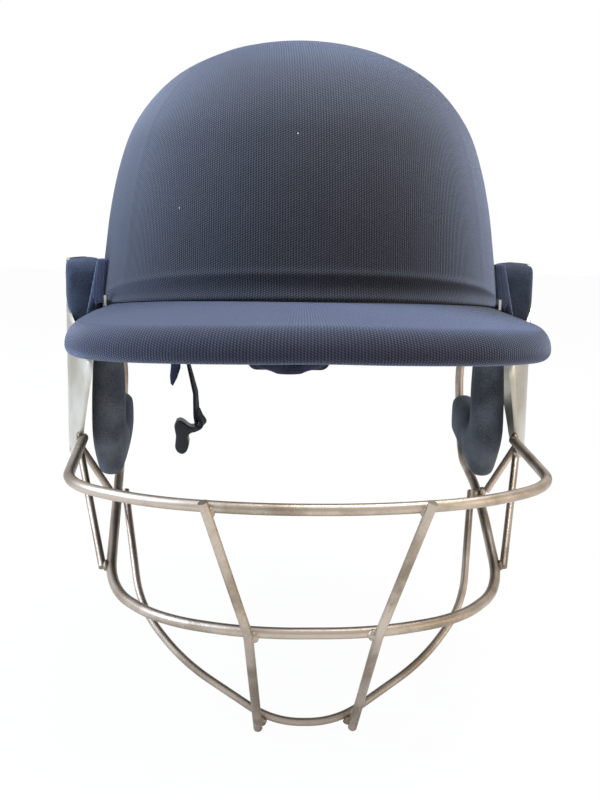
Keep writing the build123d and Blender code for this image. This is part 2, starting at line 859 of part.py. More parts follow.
housing_sketch = make_face(
    FilletPolyline(
        (-housing_half_width, housing_foot_z - adjuster_z),
        (housing_half_width, housing_foot_z - adjuster_z),
        (housing_half_width, housing_top_z - adjuster_z),
        (-housing_half_width, housing_top_z - adjuster_z),
        radius=housing_corner_radius,
        close=True,
    )
)
rear_of_housing = Plane(origin=(0, housing_rear_y, adjuster_z), x_dir=(1, 0, 0), z_dir=(0, -1, 0))
housing = extrude(rear_of_housing * housing_sketch, amount=housing_depth)
channel_high = band_high + slide_clearance
channel = box_between(
    (-span_x, band_front_y, adjuster_z - channel_high),
    (span_x, band_rear_y + slide_clearance, adjuster_z + channel_high),
)
well = box_between(
    (-housing_half_width + housing_wall, band_front_y, adjuster_z - channel_high),
    (housing_half_width - housing_wall, housing_rear_y, adjuster_z + channel_high),
)
floor_relief = box_between(
    (-span_x, band_front_y - slide_clearance, adjuster_z - channel_high),
    (span_x, band_front_y, adjuster_z + channel_high),
)
tongue = box_between(
    (-tongue_half_width, housing_front_y, housing_top_z - housing_wall),
    (tongue_half_width, housing_front_y + tongue_thickness, tongue_top_z),
)
tongue = fillet(tongue.edges().filter_by(Axis.Y).sort_by(Axis.Z)[-2:], tongue_half_width / 2)
stud_end_y = back_of_liner + stud_depth
stud = Pos(0, (housing_front_y + stud_end_y) / 2, stud_z) * Rot(90, 0, 0) * Cylinder(
    stud_radius, stud_end_y - housing_front_y
)
keep("nape_housing", housing - channel - well - floor_relief + tongue + stud)

cover_plate = extrude(rear_of_housing * housing_sketch, amount=-cover_depth)
shaft_bore = facing_rear * Cylinder(dial_shaft_radius + running_clearance, 2 * overrun)
keep("nape_housing_cover", cover_plate - shaft_bore)

dial_plane = Plane(
    origin=(0, housing_rear_y + cover_depth + slide_clearance, adjuster_z), x_dir=(1, 0, 0), z_dir=(0, 1, 0)
)
dial_sketch = Circle(dial_radius)
for index in range(dial_knurls):
    angle = index * 2 * pi / dial_knurls
    knurl = Pos(dial_radius * cos(angle), dial_radius * sin(angle)) * Circle(dial_knurl_radius)
    dial_sketch = dial_sketch - knurl
dial = extrude(dial_plane * dial_sketch, amount=dial_length)
keep("nape_dial", dial - shaft)

# Nape pad in front of the housing, its foot a wide arc
foot_drop = nape_pad_foot_radius - sqrt(nape_pad_foot_radius**2 - nape_pad_half_width**2)
pad_foot = ThreePointArc(
    (-nape_pad_half_width, nape_pad_foot_z + foot_drop),
    (0, nape_pad_foot_z),
    (nape_pad_half_width, nape_pad_foot_z + foot_drop),
)
pad_sketch = make_face(
    [
        pad_foot,
        Line(pad_foot @ 1, (nape_pad_half_width, nape_pad_top_z)),
        Line((nape_pad_half_width, nape_pad_top_z), (-nape_pad_half_width, nape_pad_top_z)),
        Line((-nape_pad_half_width, nape_pad_top_z), pad_foot @ 0),
    ]
)
pad_sketch = fillet(pad_sketch.vertices(), nape_pad_rounding + soft_gap)
pad_plane = Plane(origin=(0, housing_front_y - soft_gap, 0), x_dir=(1, 0, 0), z_dir=(0, -1, 0))
nape_pad = extrude(pad_plane * pad_sketch, amount=nape_pad_depth)
front_face = nape_pad.faces().sort_by(Axis.Y)[0]
keep("nape_pad", fillet(front_face.edges(), nape_pad_rounding))

# Chin strap anchors, with a pin across each lug
pin_z = anchor_top_z - anchor_thickness - pin_drop + pin_radius
lug_gap = strap_width / 2 + soft_gap


def strap_anchor():
    """The left anchor: a plate under the rim with a stud up into the liner and two lugs for the pin."""
    base = box_between(
        (anchor_x - anchor_half_width, anchor_y - anchor_half_length, anchor_top_z - anchor_thickness),
        (anchor_x + anchor_half_width, anchor_y + anchor_half_length, anchor_top_z),
    )
    base = fillet(base.edges().filter_by(Axis.Z), anchor_thickness)
    post_z = anchor_top_z + (anchor_stud_length - anchor_thickness) / 2
    post_height = anchor_stud_length + anchor_thickness
    post = Pos(anchor_x, anchor_y, post_z) * Cylinder(anchor_stud_radius, post_height)
    body = base + post
    for side in (-1, 1):
        near = anchor_y + side * lug_gap
        away = near + side * lug_thickness
        lug = box_between(
            (pin_x - lug_half_width, min(near, away), pin_z - lug_half_width),
            (pin_x + lug_half_width, max(near, away), anchor_top_z - anchor_thickness / 2),
        )
        body = body + lug
    pin_length = 2 * (lug_gap + lug_thickness)
    return body + Pos(pin_x, anchor_y, pin_z) * Rot(90, 0, 0) * Cylinder(pin_radius, pin_length)


anchor = strap_anchor()
keep("strap_anchor", anchor, both=True)
loop_inner = pin_radius + strap_loop_clearance
loop_outer = loop_inner + strap_thickness


def along_y(x, z, radius, width):
    """A round piece along Y across the strap."""
    return Pos(x, anchor_y, z) * Rot(90, 0, 0) * Cylinder(radius, width)


def flat_strap(points):
    """A flat strap along points in the plane across the helmet, its width along Y."""
    line = Polyline(*[(x, z) for x, z in points])
    ribbon = trace(line, line_width=strap_thickness)
    plane = Plane(origin=(0, anchor_y, 0), x_dir=(1, 0, 0), z_dir=(0, -1, 0))
    return extrude(plane * ribbon, amount=strap_width / 2, both=True)


# The long half hangs at -X
long_strap = flat_strap(
    [
        (-pin_x, pin_z - loop_outer),
        (-strap_knee_x, strap_knee_z),
        (-strap_foot_x, strap_foot_z + tip_loop_radius),
    ]
)
long_strap = long_strap + along_y(-pin_x, pin_z, loop_outer, strap_width)
long_strap = long_strap - along_y(-pin_x, pin_z, loop_inner, 2 * strap_width)
tip_bore = along_y(-strap_foot_x, strap_foot_z, tip_pin_radius + running_clearance, 2 * strap_width)
long_strap = long_strap + along_y(-strap_foot_x, strap_foot_z, tip_loop_radius, strap_width) - tip_bore
keep("chin_strap_long", long_strap)

# Its end piece turns on a pin of its own
tip_gap = strap_width / 2 + soft_gap
tip_body_x = -strap_foot_x - tip_reach_x
tip_plate = box_between(
    (tip_body_x - tip_width / 2, anchor_y - tip_depth / 2, strap_foot_z - tip_drop - tip_half_height),
    (tip_body_x + tip_width / 2, anchor_y + tip_depth / 2, strap_foot_z - tip_drop + tip_half_height),
)
tip_plate = fillet(tip_plate.edges(), tip_rounding)
tip_body = tip_plate + along_y(-strap_foot_x, strap_foot_z, tip_pin_radius, 2 * (tip_gap + lug_thickness))
for side in (-1, 1):
    near = anchor_y + side * tip_gap
    away = near + side * lug_thickness
    arm_top_z = strap_foot_z + tip_loop_radius - strap_loop_clearance
    arm = box_between(
        (tip_body_x, min(near, away), strap_foot_z - lug_half_width),
        (-strap_foot_x + tip_loop_radius, max(near, away), arm_top_z),
    )
    inner_y = anchor_y + side * tip_depth / 4
    bridge = box_between(
        (tip_body_x, min(inner_y, away), strap_foot_z - lug_half_width),
        (tip_body_x + tip_width / 2, max(inner_y, away), strap_foot_z),
    )
    tip_body = tip_body + arm + bridge
keep("strap_end_piece", tip_body)

# The short half at +X carries the receiver
short_foot_z = pin_z - loop_outer - short_strap_length
short_top_z = pin_z - loop_outer + strap_thickness / 2
short_strap = flat_strap([(-pin_x, short_top_z), (-pin_x, short_foot_z)])
short_strap = short_strap + along_y(-pin_x, pin_z, loop_outer, strap_width)
short_strap = short_strap - along_y(-pin_x, pin_z, loop_inner, 2 * strap_width)
keep("chin_strap_short", other_side(short_strap))
receiver = box_between(
    (pin_x - receiver_thickness / 2, anchor_y - receiver_width / 2, short_foot_z - receiver_length),
    (pin_x + receiver_thickness / 2, anchor_y + receiver_width / 2, short_foot_z),
)
receiver = fillet(receiver.edges(), receiver_rounding)
mouth_foot_z = short_foot_z - receiver_length - overrun
mouth = box_between(
    (pin_x - receiver_thickness / 4, anchor_y - receiver_width / 3, mouth_foot_z),
    (pin_x + receiver_thickness / 4, anchor_y + receiver_width / 3, short_foot_z - 2 * receiver_rounding),
)
keep("strap_receiver", receiver - mouth)

# A sewn tab beside the long half, pointed at its foot
tab_top_z = anchor_top_z - anchor_thickness
tab_sketch = make_face(
    Polyline(
        (-tab_x - tab_width / 2, tab_top_z),
        (-tab_x + tab_width / 2, tab_top_z),
        (-tab_x + tab_width / 2, tab_top_z - tab_length + tab_width),
        (-tab_x, tab_top_z - tab_length),
        (-tab_x - tab_width / 2, tab_top_z - tab_length + tab_width),
        close=True,
    )
)
tab_plane = Plane(origin=(0, anchor_y, 0), x_dir=(1, 0, 0), z_dir=(0, -1, 0))
keep("strap_tab", extrude(tab_plane * tab_sketch, amount=tab_thickness / 2, both=True))

for name, shape in pieces.items():
    shape.label = name
    export_step(shape, f"parts/{name}.step")
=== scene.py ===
"""A batter's helmet with a cloth-covered shell, a padded peak and a wire face grille."""

import logging
import math
from bisect import bisect_right
from dataclasses import dataclass
from enum import Enum
from typing import Callable, Iterable, Sequence

import bmesh
import bpy
from mathutils import Euler, Matrix, Vector


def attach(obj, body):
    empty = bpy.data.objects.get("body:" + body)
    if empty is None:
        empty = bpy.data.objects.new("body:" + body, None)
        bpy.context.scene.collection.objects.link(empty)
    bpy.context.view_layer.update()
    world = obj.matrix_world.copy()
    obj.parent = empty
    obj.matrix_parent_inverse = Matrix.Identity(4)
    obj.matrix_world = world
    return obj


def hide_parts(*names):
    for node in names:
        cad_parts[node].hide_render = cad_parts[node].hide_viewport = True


logging.basicConfig(level=logging.INFO, format="%(message)s")
log = logging.getLogger("helmet")

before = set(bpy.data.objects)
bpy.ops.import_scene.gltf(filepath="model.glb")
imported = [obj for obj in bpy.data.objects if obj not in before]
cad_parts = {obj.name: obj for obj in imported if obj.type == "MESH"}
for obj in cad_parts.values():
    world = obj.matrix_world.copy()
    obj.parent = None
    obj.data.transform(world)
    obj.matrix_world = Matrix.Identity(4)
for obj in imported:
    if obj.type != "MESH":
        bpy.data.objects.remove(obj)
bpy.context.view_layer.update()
MM = 0.001
TURN_PER_MM = 2 * math.pi / MM  # radians per metre of a wave that is 1 mm long
WEAVE = "weave"  # the name of a cloth's own map
HALVINGS = 40  # rounds of halving, which bring 200 mm far below what a mesh can hold
MERGE = 1e-6  # how near points are merged, in metres

Colour = tuple[float, float, float]
Range = tuple[float, float]


def linear(red: int, green: int, blue: int) -> Colour:
    """The linear colour of a screen colour given from 0 to 255."""
    parts = [value / 255 for value in (red, green, blue)]
    return tuple(p / 12.92 if p <= 0.04045 else ((p + 0.055) / 1.055) ** 2.4 for p in parts)


class Wiring:
    """A node tree, with short calls for adding and linking nodes."""

    def __init__(self, tree: bpy.types.NodeTree) -> None:
        """Takes the tree."""
        self.tree = tree

    def add(self, kind: str, **settings: object) -> bpy.types.Node:
        """Adds a node.

        Args:
            kind: The node's type name.
            **settings: Its properties.

        Returns:
            The new node.
        """
        node = self.tree.nodes.new(kind)
        for name, value in settings.items():
            setattr(node, name, value)
        return node

    def feed(self, socket: bpy.types.NodeSocket, value: object) -> None:
        """Links a socket to an output, or sets its value.

        Args:
            socket: The input.
            value: An output socket, a number or a colour.
        """
        if isinstance(value, bpy.types.NodeSocket):
            self.tree.links.new(value, socket)
        else:
            socket.default_value = value

    def calc(self, operation: str, *values: object) -> bpy.types.NodeSocket:
        """One Math node's result.

        Args:
            operation: The Math node's operation.
            *values: Its inputs.

        Returns:
            The output socket.
        """
        node = self.add("ShaderNodeMath", operation=operation)
        for index, value in enumerate(values):
            self.feed(node.inputs[index], value)
        return node.outputs[0]

    def mix(self, share: object, first: object, second: object) -> bpy.types.NodeSocket:
        """A mix of two shaders: the first at share 0, the second at 1."""
        node = self.add("ShaderNodeMixShader")
        for socket, value in zip(node.inputs, (share, first, second)):
            self.feed(socket, value)
        return node.outputs[0]


class Nodes(Wiring):
    """A material's node tree, with short calls for what the finishes share."""

    def __init__(self, name: str) -> None:
        """Starts a material with one Principled shader.

        Args:
            name: The material's name.
        """
        self.material = bpy.data.materials.new(name)
        self.material.use_nodes = True
        super().__init__(self.material.node_tree)
        self.shader = self.tree.nodes["Principled BSDF"]

    def shade(self, inputs: dict[str, object]) -> None:
        """Feeds the shader's inputs by their names."""
        for name, value in inputs.items():
            self.feed(self.shader.inputs[name], value)

    def wave(self, measure: bpy.types.NodeSocket, length_mm: float) -> bpy.types.NodeSocket:
        """A sine wave along a measure in metres, its length in millimetres."""
        return self.calc("SINE", self.calc("MULTIPLY", measure, TURN_PER_MM / length_mm))

    def vary(self, base: object, noise: bpy.types.NodeSocket, share: float) -> bpy.types.NodeSocket:
        """A value raised and lowered by a share of a noise."""
        return self.calc("MULTIPLY_ADD", self.calc("SUBTRACT", noise, 0.5), share, base)

    def place(self) -> bpy.types.NodeSocket:
        """The place on the object, in metres."""
        return self.add("ShaderNodeTexCoord").outputs["Object"]

    def map_of(self, name: str) -> bpy.types.NodeSocket:
        """A piece's own UV map."""
        return self.add("ShaderNodeUVMap", uv_map=name).outputs[0]

    def parts(self, vector: bpy.types.NodeSocket) -> list[bpy.types.NodeSocket]:
        """The three parts of a vector."""
        node = self.add("ShaderNodeSeparateXYZ")
        self.feed(node.inputs[0], vector)
        return list(node.outputs)

    def noise(self, scale: float, detail: float, stretch: Sequence[float] | None = None) -> bpy.types.NodeSocket:
        """Soft noise over the object.

        Args:
            scale: How fine the noise is, per metre.
            detail: Its octaves.
            stretch: Scales along X, Y and Z, for streaks.

        Returns:
            The noise's value, about 0.5 on average.
        """
        place = self.place()
        if stretch:
            mapping = self.add("ShaderNodeMapping")
            self.feed(mapping.inputs["Vector"], place)
            mapping.inputs["Scale"].default_value = stretch
            place = mapping.outputs[0]
        node = self.add("ShaderNodeTexNoise")
        self.feed(node.inputs["Vector"], place)
        node.inputs["Scale"].default_value = scale
        node.inputs["Detail"].default_value = detail
        return node.outputs["Fac"]

    def ramp(
        self, value: bpy.types.NodeSocket, low: float, high: float, start: float = 0, end: float = 1
    ) -> bpy.types.NodeSocket:
        """A value mapped and clamped from one range to another.

        Args:
            value: The input.
            low: Where the range starts.
            high: Where it ends.
            start: The result at its start.
            end: The result at its end.

        Returns:
            The mapped value.
        """
        node = self.add("ShaderNodeMapRange", interpolation_type="SMOOTHSTEP")
        for name, number in zip(("Value", "From Min", "From Max", "To Min", "To Max"), (value, low, high, start, end)):
            self.feed(node.inputs[name], number)
        return node.outputs[0]

    def blend(self, share: object, first: object, second: object) -> bpy.types.NodeSocket:
        """A mix of two colours.

        Args:
            share: How much of the second colour.
            first: The first colour or output.
            second: The second colour or output.

        Returns:
            The mixed colour.
        """
        node = self.add("ShaderNodeMix", data_type="RGBA")
        self.feed(node.inputs[0], share)
        for socket, value in ((node.inputs[6], first), (node.inputs[7], second)):
            self.feed(socket, value if isinstance(value, bpy.types.NodeSocket) else (*value, 1))
        return node.outputs[2]

    def relief(self, height: bpy.types.NodeSocket, depth_mm: float) -> None:
        """Gives the shader a bump.

        Args:
            height: The height, from 0 to 1.
            depth_mm: How deep 1 is.
        """
        bump = self.add("ShaderNodeBump")
        bump.inputs["Strength"].default_value = 1
        bump.inputs["Distance"].default_value = depth_mm * MM
        self.feed(bump.inputs["Height"], height)
        self.feed(self.shader.inputs["Normal"], bump.outputs[0])


class WeavePlace(Enum):
    """Where a cloth's pattern is measured."""

    OWN_MAP = "own map"
    FROM_SIDE = "from side"


@dataclass(frozen=True)
class KnitFinish:
    """A fine ribbed knit, painted highlight on its stitches and painted shade in its valleys, with soft clouds and
    specks of lint.

    In this and the other finishes a value per metre says how fine a pattern is, and a share how much it counts.
    """

    name: str
    dark: Colour
    light: Colour
    place: WeavePlace
    rib_mm: float = 1.14
    stitch_mm: float = 0.98
    rib_share: float = 0.26
    stitch_share: float = 0.24
    depth_mm: float = 0.22
    cloud_per_m: float = 28
    cloud_share: float = 0.35
    patch_per_m: float = 240
    patch_share: float = 0.30
    shade_range: Range = (0.12, 1.0)
    rough_range: Range = (0.95, 0.72)
    specular: float = 0.35
    sheen: float = 0.62
    sheen_rough: float = 0.45
    sheen_tint: Colour = linear(190, 202, 232)
    lint: float = 0.0
    lint_per_m: float = 95
    lint_radius: float = 0.032
    lint_field_per_m: float = 60
    lint_field_range: Range = (0.60, 0.66)
    lint_colour: Colour = linear(190, 195, 205)

    def add_lint(self, n: Nodes, colour: bpy.types.NodeSocket) -> bpy.types.NodeSocket:
        """The colour with a few light specks on it.

        Args:
            n: The material's nodes.
            colour: The cloth's colour.

        Returns:
            The colour with its lint.
        """
        speck = n.add("ShaderNodeTexVoronoi", feature="F1")
        n.feed(speck.inputs["Vector"], n.place())
        n.feed(speck.inputs["Scale"], self.lint_per_m)
        near = n.calc("LESS_THAN", speck.outputs["Distance"], self.lint_radius)
        few = n.ramp(n.noise(self.lint_field_per_m, detail=2), *self.lint_field_range)
        return n.blend(n.calc("MULTIPLY", n.calc("MULTIPLY", near, few), self.lint), colour, self.lint_colour)

    def make(self) -> bpy.types.Material:
        """Makes the material.

        Returns:
            The finished material.
        """
        n = Nodes(self.name)
        if self.place is WeavePlace.OWN_MAP:
            across, along, _ = n.parts(n.map_of(WEAVE))
        else:
            x, y, along = n.parts(n.place())
            across = n.calc("ADD", y, x)
        rib = n.wave(across, self.rib_mm)
        slant = n.calc("MULTIPLY", across, TURN_PER_MM / (2 * self.rib_mm))
        row = n.calc("MULTIPLY", along, TURN_PER_MM / self.stitch_mm)
        stitch = n.calc("SINE", n.calc("ADD", row, slant))
        height = n.calc("MULTIPLY_ADD", rib, self.rib_share, 0.5)
        height = n.calc("MULTIPLY_ADD", stitch, self.stitch_share, height)
        shade = n.vary(height, n.noise(self.cloud_per_m, detail=4), self.cloud_share)
        shade = n.vary(shade, n.noise(self.patch_per_m, detail=3), self.patch_share)
        # The colour follows the stitch height: painted highlight on the stitch tops and painted shade in the valleys,
        # varied by random clouds and patches of tone.
        colour = n.blend(n.ramp(shade, *self.shade_range), self.dark, self.light)
        if self.lint:
            colour = self.add_lint(n, colour)
        n.shade({
            "Base Color": colour,
            "Roughness": n.ramp(height, 0, 1, *self.rough_range),
            "Specular IOR Level": self.specular,
            "Sheen Weight": self.sheen,
            "Sheen Roughness": self.sheen_rough,
            "Sheen Tint": (*self.sheen_tint, 1),
        })
        n.relief(height, self.depth_mm)
        return n.material


@dataclass(frozen=True)
class PadFinish:
    """Smooth brushed cloth over foam, with a fine nap and worn patches."""

    name: str
    dark: Colour
    light: Colour
    sheen: float = 0.25
    nap_per_m: float = 2600
    nap_range: Range = (0.3, 0.7)
    wear_per_m: float = 55
    wear_share: float = 0.9
    wear_relief: float = 0.8
    depth_mm: float = 0.25
    shade_range: Range = (0.2, 0.85)
    rough_range: Range = (0.95, 0.78)
    specular: float = 0.3
    sheen_rough: float = 0.5
    sheen_tint: Colour = linear(140, 150, 175)

    def make(self) -> bpy.types.Material:
        """Makes the material.

        Returns:
            The finished material.
        """
        n = Nodes(self.name)
        nap = n.noise(self.nap_per_m, detail=4)
        wear = n.noise(self.wear_per_m, detail=5)
        shade = n.vary(nap, wear, self.wear_share)
        n.shade({
            "Base Color": n.blend(n.ramp(shade, *self.shade_range), self.dark, self.light),
            "Roughness": n.ramp(nap, *self.nap_range, *self.rough_range),
            "Specular IOR Level": self.specular,
            "Sheen Weight": self.sheen,
            "Sheen Roughness": self.sheen_rough,
            "Sheen Tint": (*self.sheen_tint, 1),
        })
        n.relief(n.calc("ADD", nap, n.calc("MULTIPLY", wear, self.wear_relief)), self.depth_mm)
        return n.material


@dataclass(frozen=True)
class MetalFinish:
    """Satin metal with handling marks, dull patches and fine scratches."""

    name: str
    clean: Colour
    dull: Colour
    rough: float
    streak: tuple[float, float, float] = (1, 1, 1)
    patch_per_m: float = 34
    patch_range: Range = (0.3, 0.75)
    grain_per_m: float = 900
    grain_share: float = 0.5
    grain_rough: float = 0.16
    grain_mm: float = 0.035
    stain_per_m: float = 90
    stain_range: Range = (0.52, 0.72)
    stain_share: float = 0.25
    stain_rough: float = 0.10
    shade_range: Range = (0, 1.1)

    def make(self) -> bpy.types.Material:
        """Makes the material.

        Returns:
            The finished material.
        """
        n = Nodes(self.name)
        patch = n.ramp(n.noise(self.patch_per_m, detail=5), *self.patch_range)
        grain = n.noise(self.grain_per_m, detail=3, stretch=self.streak)
        stain = n.ramp(n.noise(self.stain_per_m, detail=4), *self.stain_range)
        share = n.calc("MULTIPLY_ADD", stain, self.stain_share, n.vary(patch, grain, self.grain_share))
        spread = n.calc("MULTIPLY_ADD", grain, self.grain_rough, self.rough - self.grain_rough / 2)
        n.shade({
            "Base Color": n.blend(n.ramp(share, *self.shade_range), self.clean, self.dull),
            "Metallic": 1,
            "Roughness": n.calc("MULTIPLY_ADD", stain, self.stain_rough, spread),
        })
        n.relief(grain, self.grain_mm)
        return n.material


@dataclass(frozen=True)
class MouldedFinish:
    """Moulded plastic, foam or rubber with a fine grain and scuffed edges."""

    name: str
    colour: Colour
    edge: Colour
    rough: float = 0.5
    grain_per_m: float = 1500
    depth_mm: float = 0.05
    scuff_per_m: float = 130
    scuff_shade: Range = (0.45, 0.85)
    scuff_rough: Range = (0.3, 0.8)
    rough_spread: Range = (-0.08, 0.15)

    def make(self) -> bpy.types.Material:
        """Makes the material.

        Returns:
            The finished material.
        """
        n = Nodes(self.name)
        scuff = n.noise(self.scuff_per_m, detail=5)
        fresh, worn = (self.rough + part for part in self.rough_spread)
        n.shade({
            "Base Color": n.blend(n.ramp(scuff, *self.scuff_shade), self.colour, self.edge),
            "Roughness": n.ramp(scuff, *self.scuff_rough, fresh, worn),
        })
        n.relief(n.noise(self.grain_per_m, detail=2), self.depth_mm)
        return n.material


@dataclass(frozen=True)
class WebbingFinish:
    """Flat woven webbing with ribs across it, on the strap's own map, with painted highlight on the ribs and painted
    shade between them.
    """

    name: str
    dark: Colour
    light: Colour
    pick_mm: float = 0.9
    end_mm: float = 1.1
    cross_share: float = 0.3
    pick_share: float = 0.2
    depth_mm: float = 0.15
    shade_range: Range = (0.1, 0.9)
    rough: float = 0.8
    specular: float = 0.25
    sheen: float = 0.05

    def make(self) -> bpy.types.Material:
        """Makes the material.

        Returns:
            The finished material.
        """
        n = Nodes(self.name)
        across, along, _ = n.parts(n.map_of(WEAVE))
        pick = n.wave(along, self.pick_mm)
        end = n.wave(across, self.end_mm)
        height = n.calc("MULTIPLY_ADD", n.calc("MULTIPLY", pick, end), self.cross_share, 0.5)
        height = n.calc("MULTIPLY_ADD", pick, self.pick_share, height)
        n.shade({
            # The colour follows the weave's height: painted highlight on the raised ribs and painted shade in the
            # hollows.
            "Base Color": n.blend(n.ramp(height, *self.shade_range), self.dark, self.light),
            "Roughness": self.rough,
            "Specular IOR Level": self.specular,
            "Sheen Weight": self.sheen,
        })
        n.relief(height, self.depth_mm)
        return n.material


class Finish(Enum):
    """The helmet's finishes."""

    SHELL_KNIT = KnitFinish("shell_knit", linear(7, 7, 10), linear(49, 49, 57), WeavePlace.OWN_MAP, lint=0.8)
    PEAK_KNIT = KnitFinish("peak_knit", linear(7, 7, 12), linear(48, 49, 68), WeavePlace.OWN_MAP, lint=0.6)
    # The flaps' knit is the shell's cloth painted much lighter: painted light standing in for the light on the flaps,
    # which lie in shade.
    FLAP_KNIT_PAINTED_LIGHT = KnitFinish("flap_knit_painted_light", linear(44, 49, 66), linear(88, 96, 124), WeavePlace.FROM_SIDE, rib_mm=0.7)
    CHARCOAL = PadFinish("charcoal_cloth", linear(48, 52, 58), linear(108, 112, 118))
    LOBE = PadFinish("lobe_cloth", linear(26, 31, 44), linear(62, 70, 88), sheen=0.4)
    COMFORT = PadFinish("comfort_cloth", linear(22, 24, 36), linear(58, 62, 82))
    PLATE = MetalFinish("plate_metal", linear(204, 200, 190), linear(178, 171, 156), 0.40, (1, 1, 12))
    WIRE = MetalFinish("wire_metal", linear(188, 173, 157), linear(140, 125, 107), 0.44)
    WELD = MetalFinish("weld_metal", linear(176, 162, 144), linear(112, 96, 78), 0.48)
    BRIGHT = MetalFinish("bright_metal", linear(228, 226, 220), linear(190, 186, 176), 0.22)
    SHELL = MouldedFinish("shell_plastic", linear(30, 31, 36), linear(52, 53, 58))
    FOAM = MouldedFinish("foam_beads", linear(26, 27, 31), linear(46, 47, 52), 0.85, 420, 0.35)
    RUBBER = MouldedFinish("edging_rubber", linear(24, 25, 30), linear(44, 45, 50), 0.7)
    NAVY_PLASTIC = MouldedFinish("navy_plastic", linear(24, 28, 46), linear(50, 56, 76), 0.48)
    BLACK_PLASTIC = MouldedFinish("black_plastic", linear(20, 21, 24), linear(48, 49, 54), 0.42)
    GLOSSY = MouldedFinish("buckle_plastic", linear(7, 8, 13), linear(18, 19, 26), 0.42)
    WEBBING = WebbingFinish("strap_webbing", linear(6, 6, 9), linear(22, 23, 30))
    TAPE = WebbingFinish("tab_tape", linear(16, 18, 32), linear(56, 61, 88))


MATERIALS: dict[Finish, bpy.types.Material] = {}


def dress(piece: bpy.types.Object, finish: Finish) -> bpy.types.Object:
    """Gives a piece one finish all over.

    Args:
        piece: The piece.
        finish: Its finish.

    Returns:
        The same piece.
    """
    if finish not in MATERIALS:
        MATERIALS[finish] = finish.value.make()
    if len(piece.material_slots) == 0:
        piece.data.materials.append(MATERIALS[finish])
    for spot in piece.material_slots:
        spot.material = MATERIALS[finish]
    return piece


def mesh_of(bm: bmesh.types.BMesh, name: str) -> bpy.types.Mesh:
    """Turns a bmesh into a mesh."""
    mesh = bpy.data.meshes.new(name)
    bm.to_mesh(mesh)
    bm.free()
    return mesh


def add_object(name: str, data: bpy.types.ID) -> bpy.types.Object:
    """Adds a new object to the scene."""
    thing = bpy.data.objects.new(name, data)
    bpy.context.scene.collection.objects.link(thing)
    return thing


def smooth(mesh: bpy.types.Mesh) -> None:
    """Shades all of a mesh smooth."""
    for face in mesh.polygons:
        face.use_smooth = True


def piece_of(bm: bmesh.types.BMesh, name: str, body: str, finish: Finish) -> bpy.types.Object:
    """Turns a bmesh into a smooth piece that rides on a body.

    Args:
        bm: The mesh, in metres.
        name: The piece's name.
        body: The CAD body that it moves with.
        finish: Its finish.

    Returns:
        The new object.
    """
    mesh = mesh_of(bm, name)
    smooth(mesh)
    piece = add_object(name, mesh)
    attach(piece, body)
    log.info("%s: %d faces", name, len(mesh.polygons))
    return dress(piece, finish)


def settle(piece: bpy.types.Object) -> None:
    """Applies all of a piece's modifiers to its mesh."""
    graph = bpy.context.evaluated_depsgraph_get()
    mesh = bpy.data.meshes.new_from_object(piece.evaluated_get(graph))
    old = piece.data
    piece.modifiers.clear()
    piece.data = mesh
    bpy.data.meshes.remove(old)
    smooth(mesh)


def thicken(piece: bpy.types.Object, depth_mm: float, offset: float, even: bool) -> None:
    """Gives a sheet its thickness.

    Args:
        piece: The sheet.
        depth_mm: How thick it becomes.
        offset: Where the thickness goes: -1 is inwards, 0 to both sides.
        even: Whether bends keep the full thickness.
    """
    solid = piece.modifiers.new("thickness", "SOLIDIFY")
    solid.thickness = depth_mm * MM
    solid.offset = offset
    solid.use_even_offset = even


def even_out(piece: bpy.types.Object, voxel_mm: float) -> None:
    """Gives a piece a mesh of even, small faces."""
    remesh = piece.modifiers.new("even", "REMESH")
    remesh.mode = "VOXEL"
    remesh.voxel_size = voxel_mm * MM


def soften(piece: bpy.types.Object, rounds: int) -> None:
    """Smooths a piece's form, round by round."""
    ease = piece.modifiers.new("soften", "SMOOTH")
    ease.factor = 0.5
    ease.iterations = rounds


def roll_edges(bm: bmesh.types.BMesh, width_mm: float, least_degrees: float) -> None:
    """Rounds off the edges at which a closed mesh turns by more than an angle.

    Args:
        bm: The mesh.
        width_mm: How wide the rounding is on each side of an edge.
        least_degrees: The angle.
    """
    bmesh.ops.recalc_face_normals(bm, faces=bm.faces)
    sharp = [e for e in bm.edges if e.is_manifold and e.calc_face_angle(0) > math.radians(least_degrees)]
    bmesh.ops.bevel(
        bm, geom=sharp, offset=width_mm * MM, offset_type="OFFSET", segments=3, profile=0.5,
        affect="EDGES", clamp_overlap=True, material=-1,
    )


def cloth_grid(columns: int, rows: int) -> tuple[bmesh.types.BMesh, bmesh.types.BMLayerItem]:
    """A grid 1 m wide with a map of its own, ready to be laid over a form."""
    bm = bmesh.new()
    bmesh.ops.create_grid(bm, x_segments=columns, y_segments=rows, size=0.5)
    return bm, bm.loops.layers.uv.new(WEAVE)


def lay_cloth(
    faces: Iterable[bmesh.types.BMFace],
    cloth: bmesh.types.BMLayerItem,
    places: dict[bmesh.types.BMVert, tuple[float, float]],
) -> None:
    """Writes into a piece's own map where its corners lie on the cloth.

    Args:
        faces: The faces to write.
        cloth: The map.
        places: Each vertex's place on the cloth, in metres.
    """
    for face in faces:
        for loop in face.loops:
            loop[cloth].uv = places[loop.vert]


def copy_of(node: str) -> bmesh.types.BMesh:
    """A CAD node's mesh as a bmesh, its loose triangles merged."""
    bm = bmesh.new()
    bm.from_mesh(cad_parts[node].data)
    bmesh.ops.remove_doubles(bm, verts=bm.verts, dist=MERGE)
    return bm


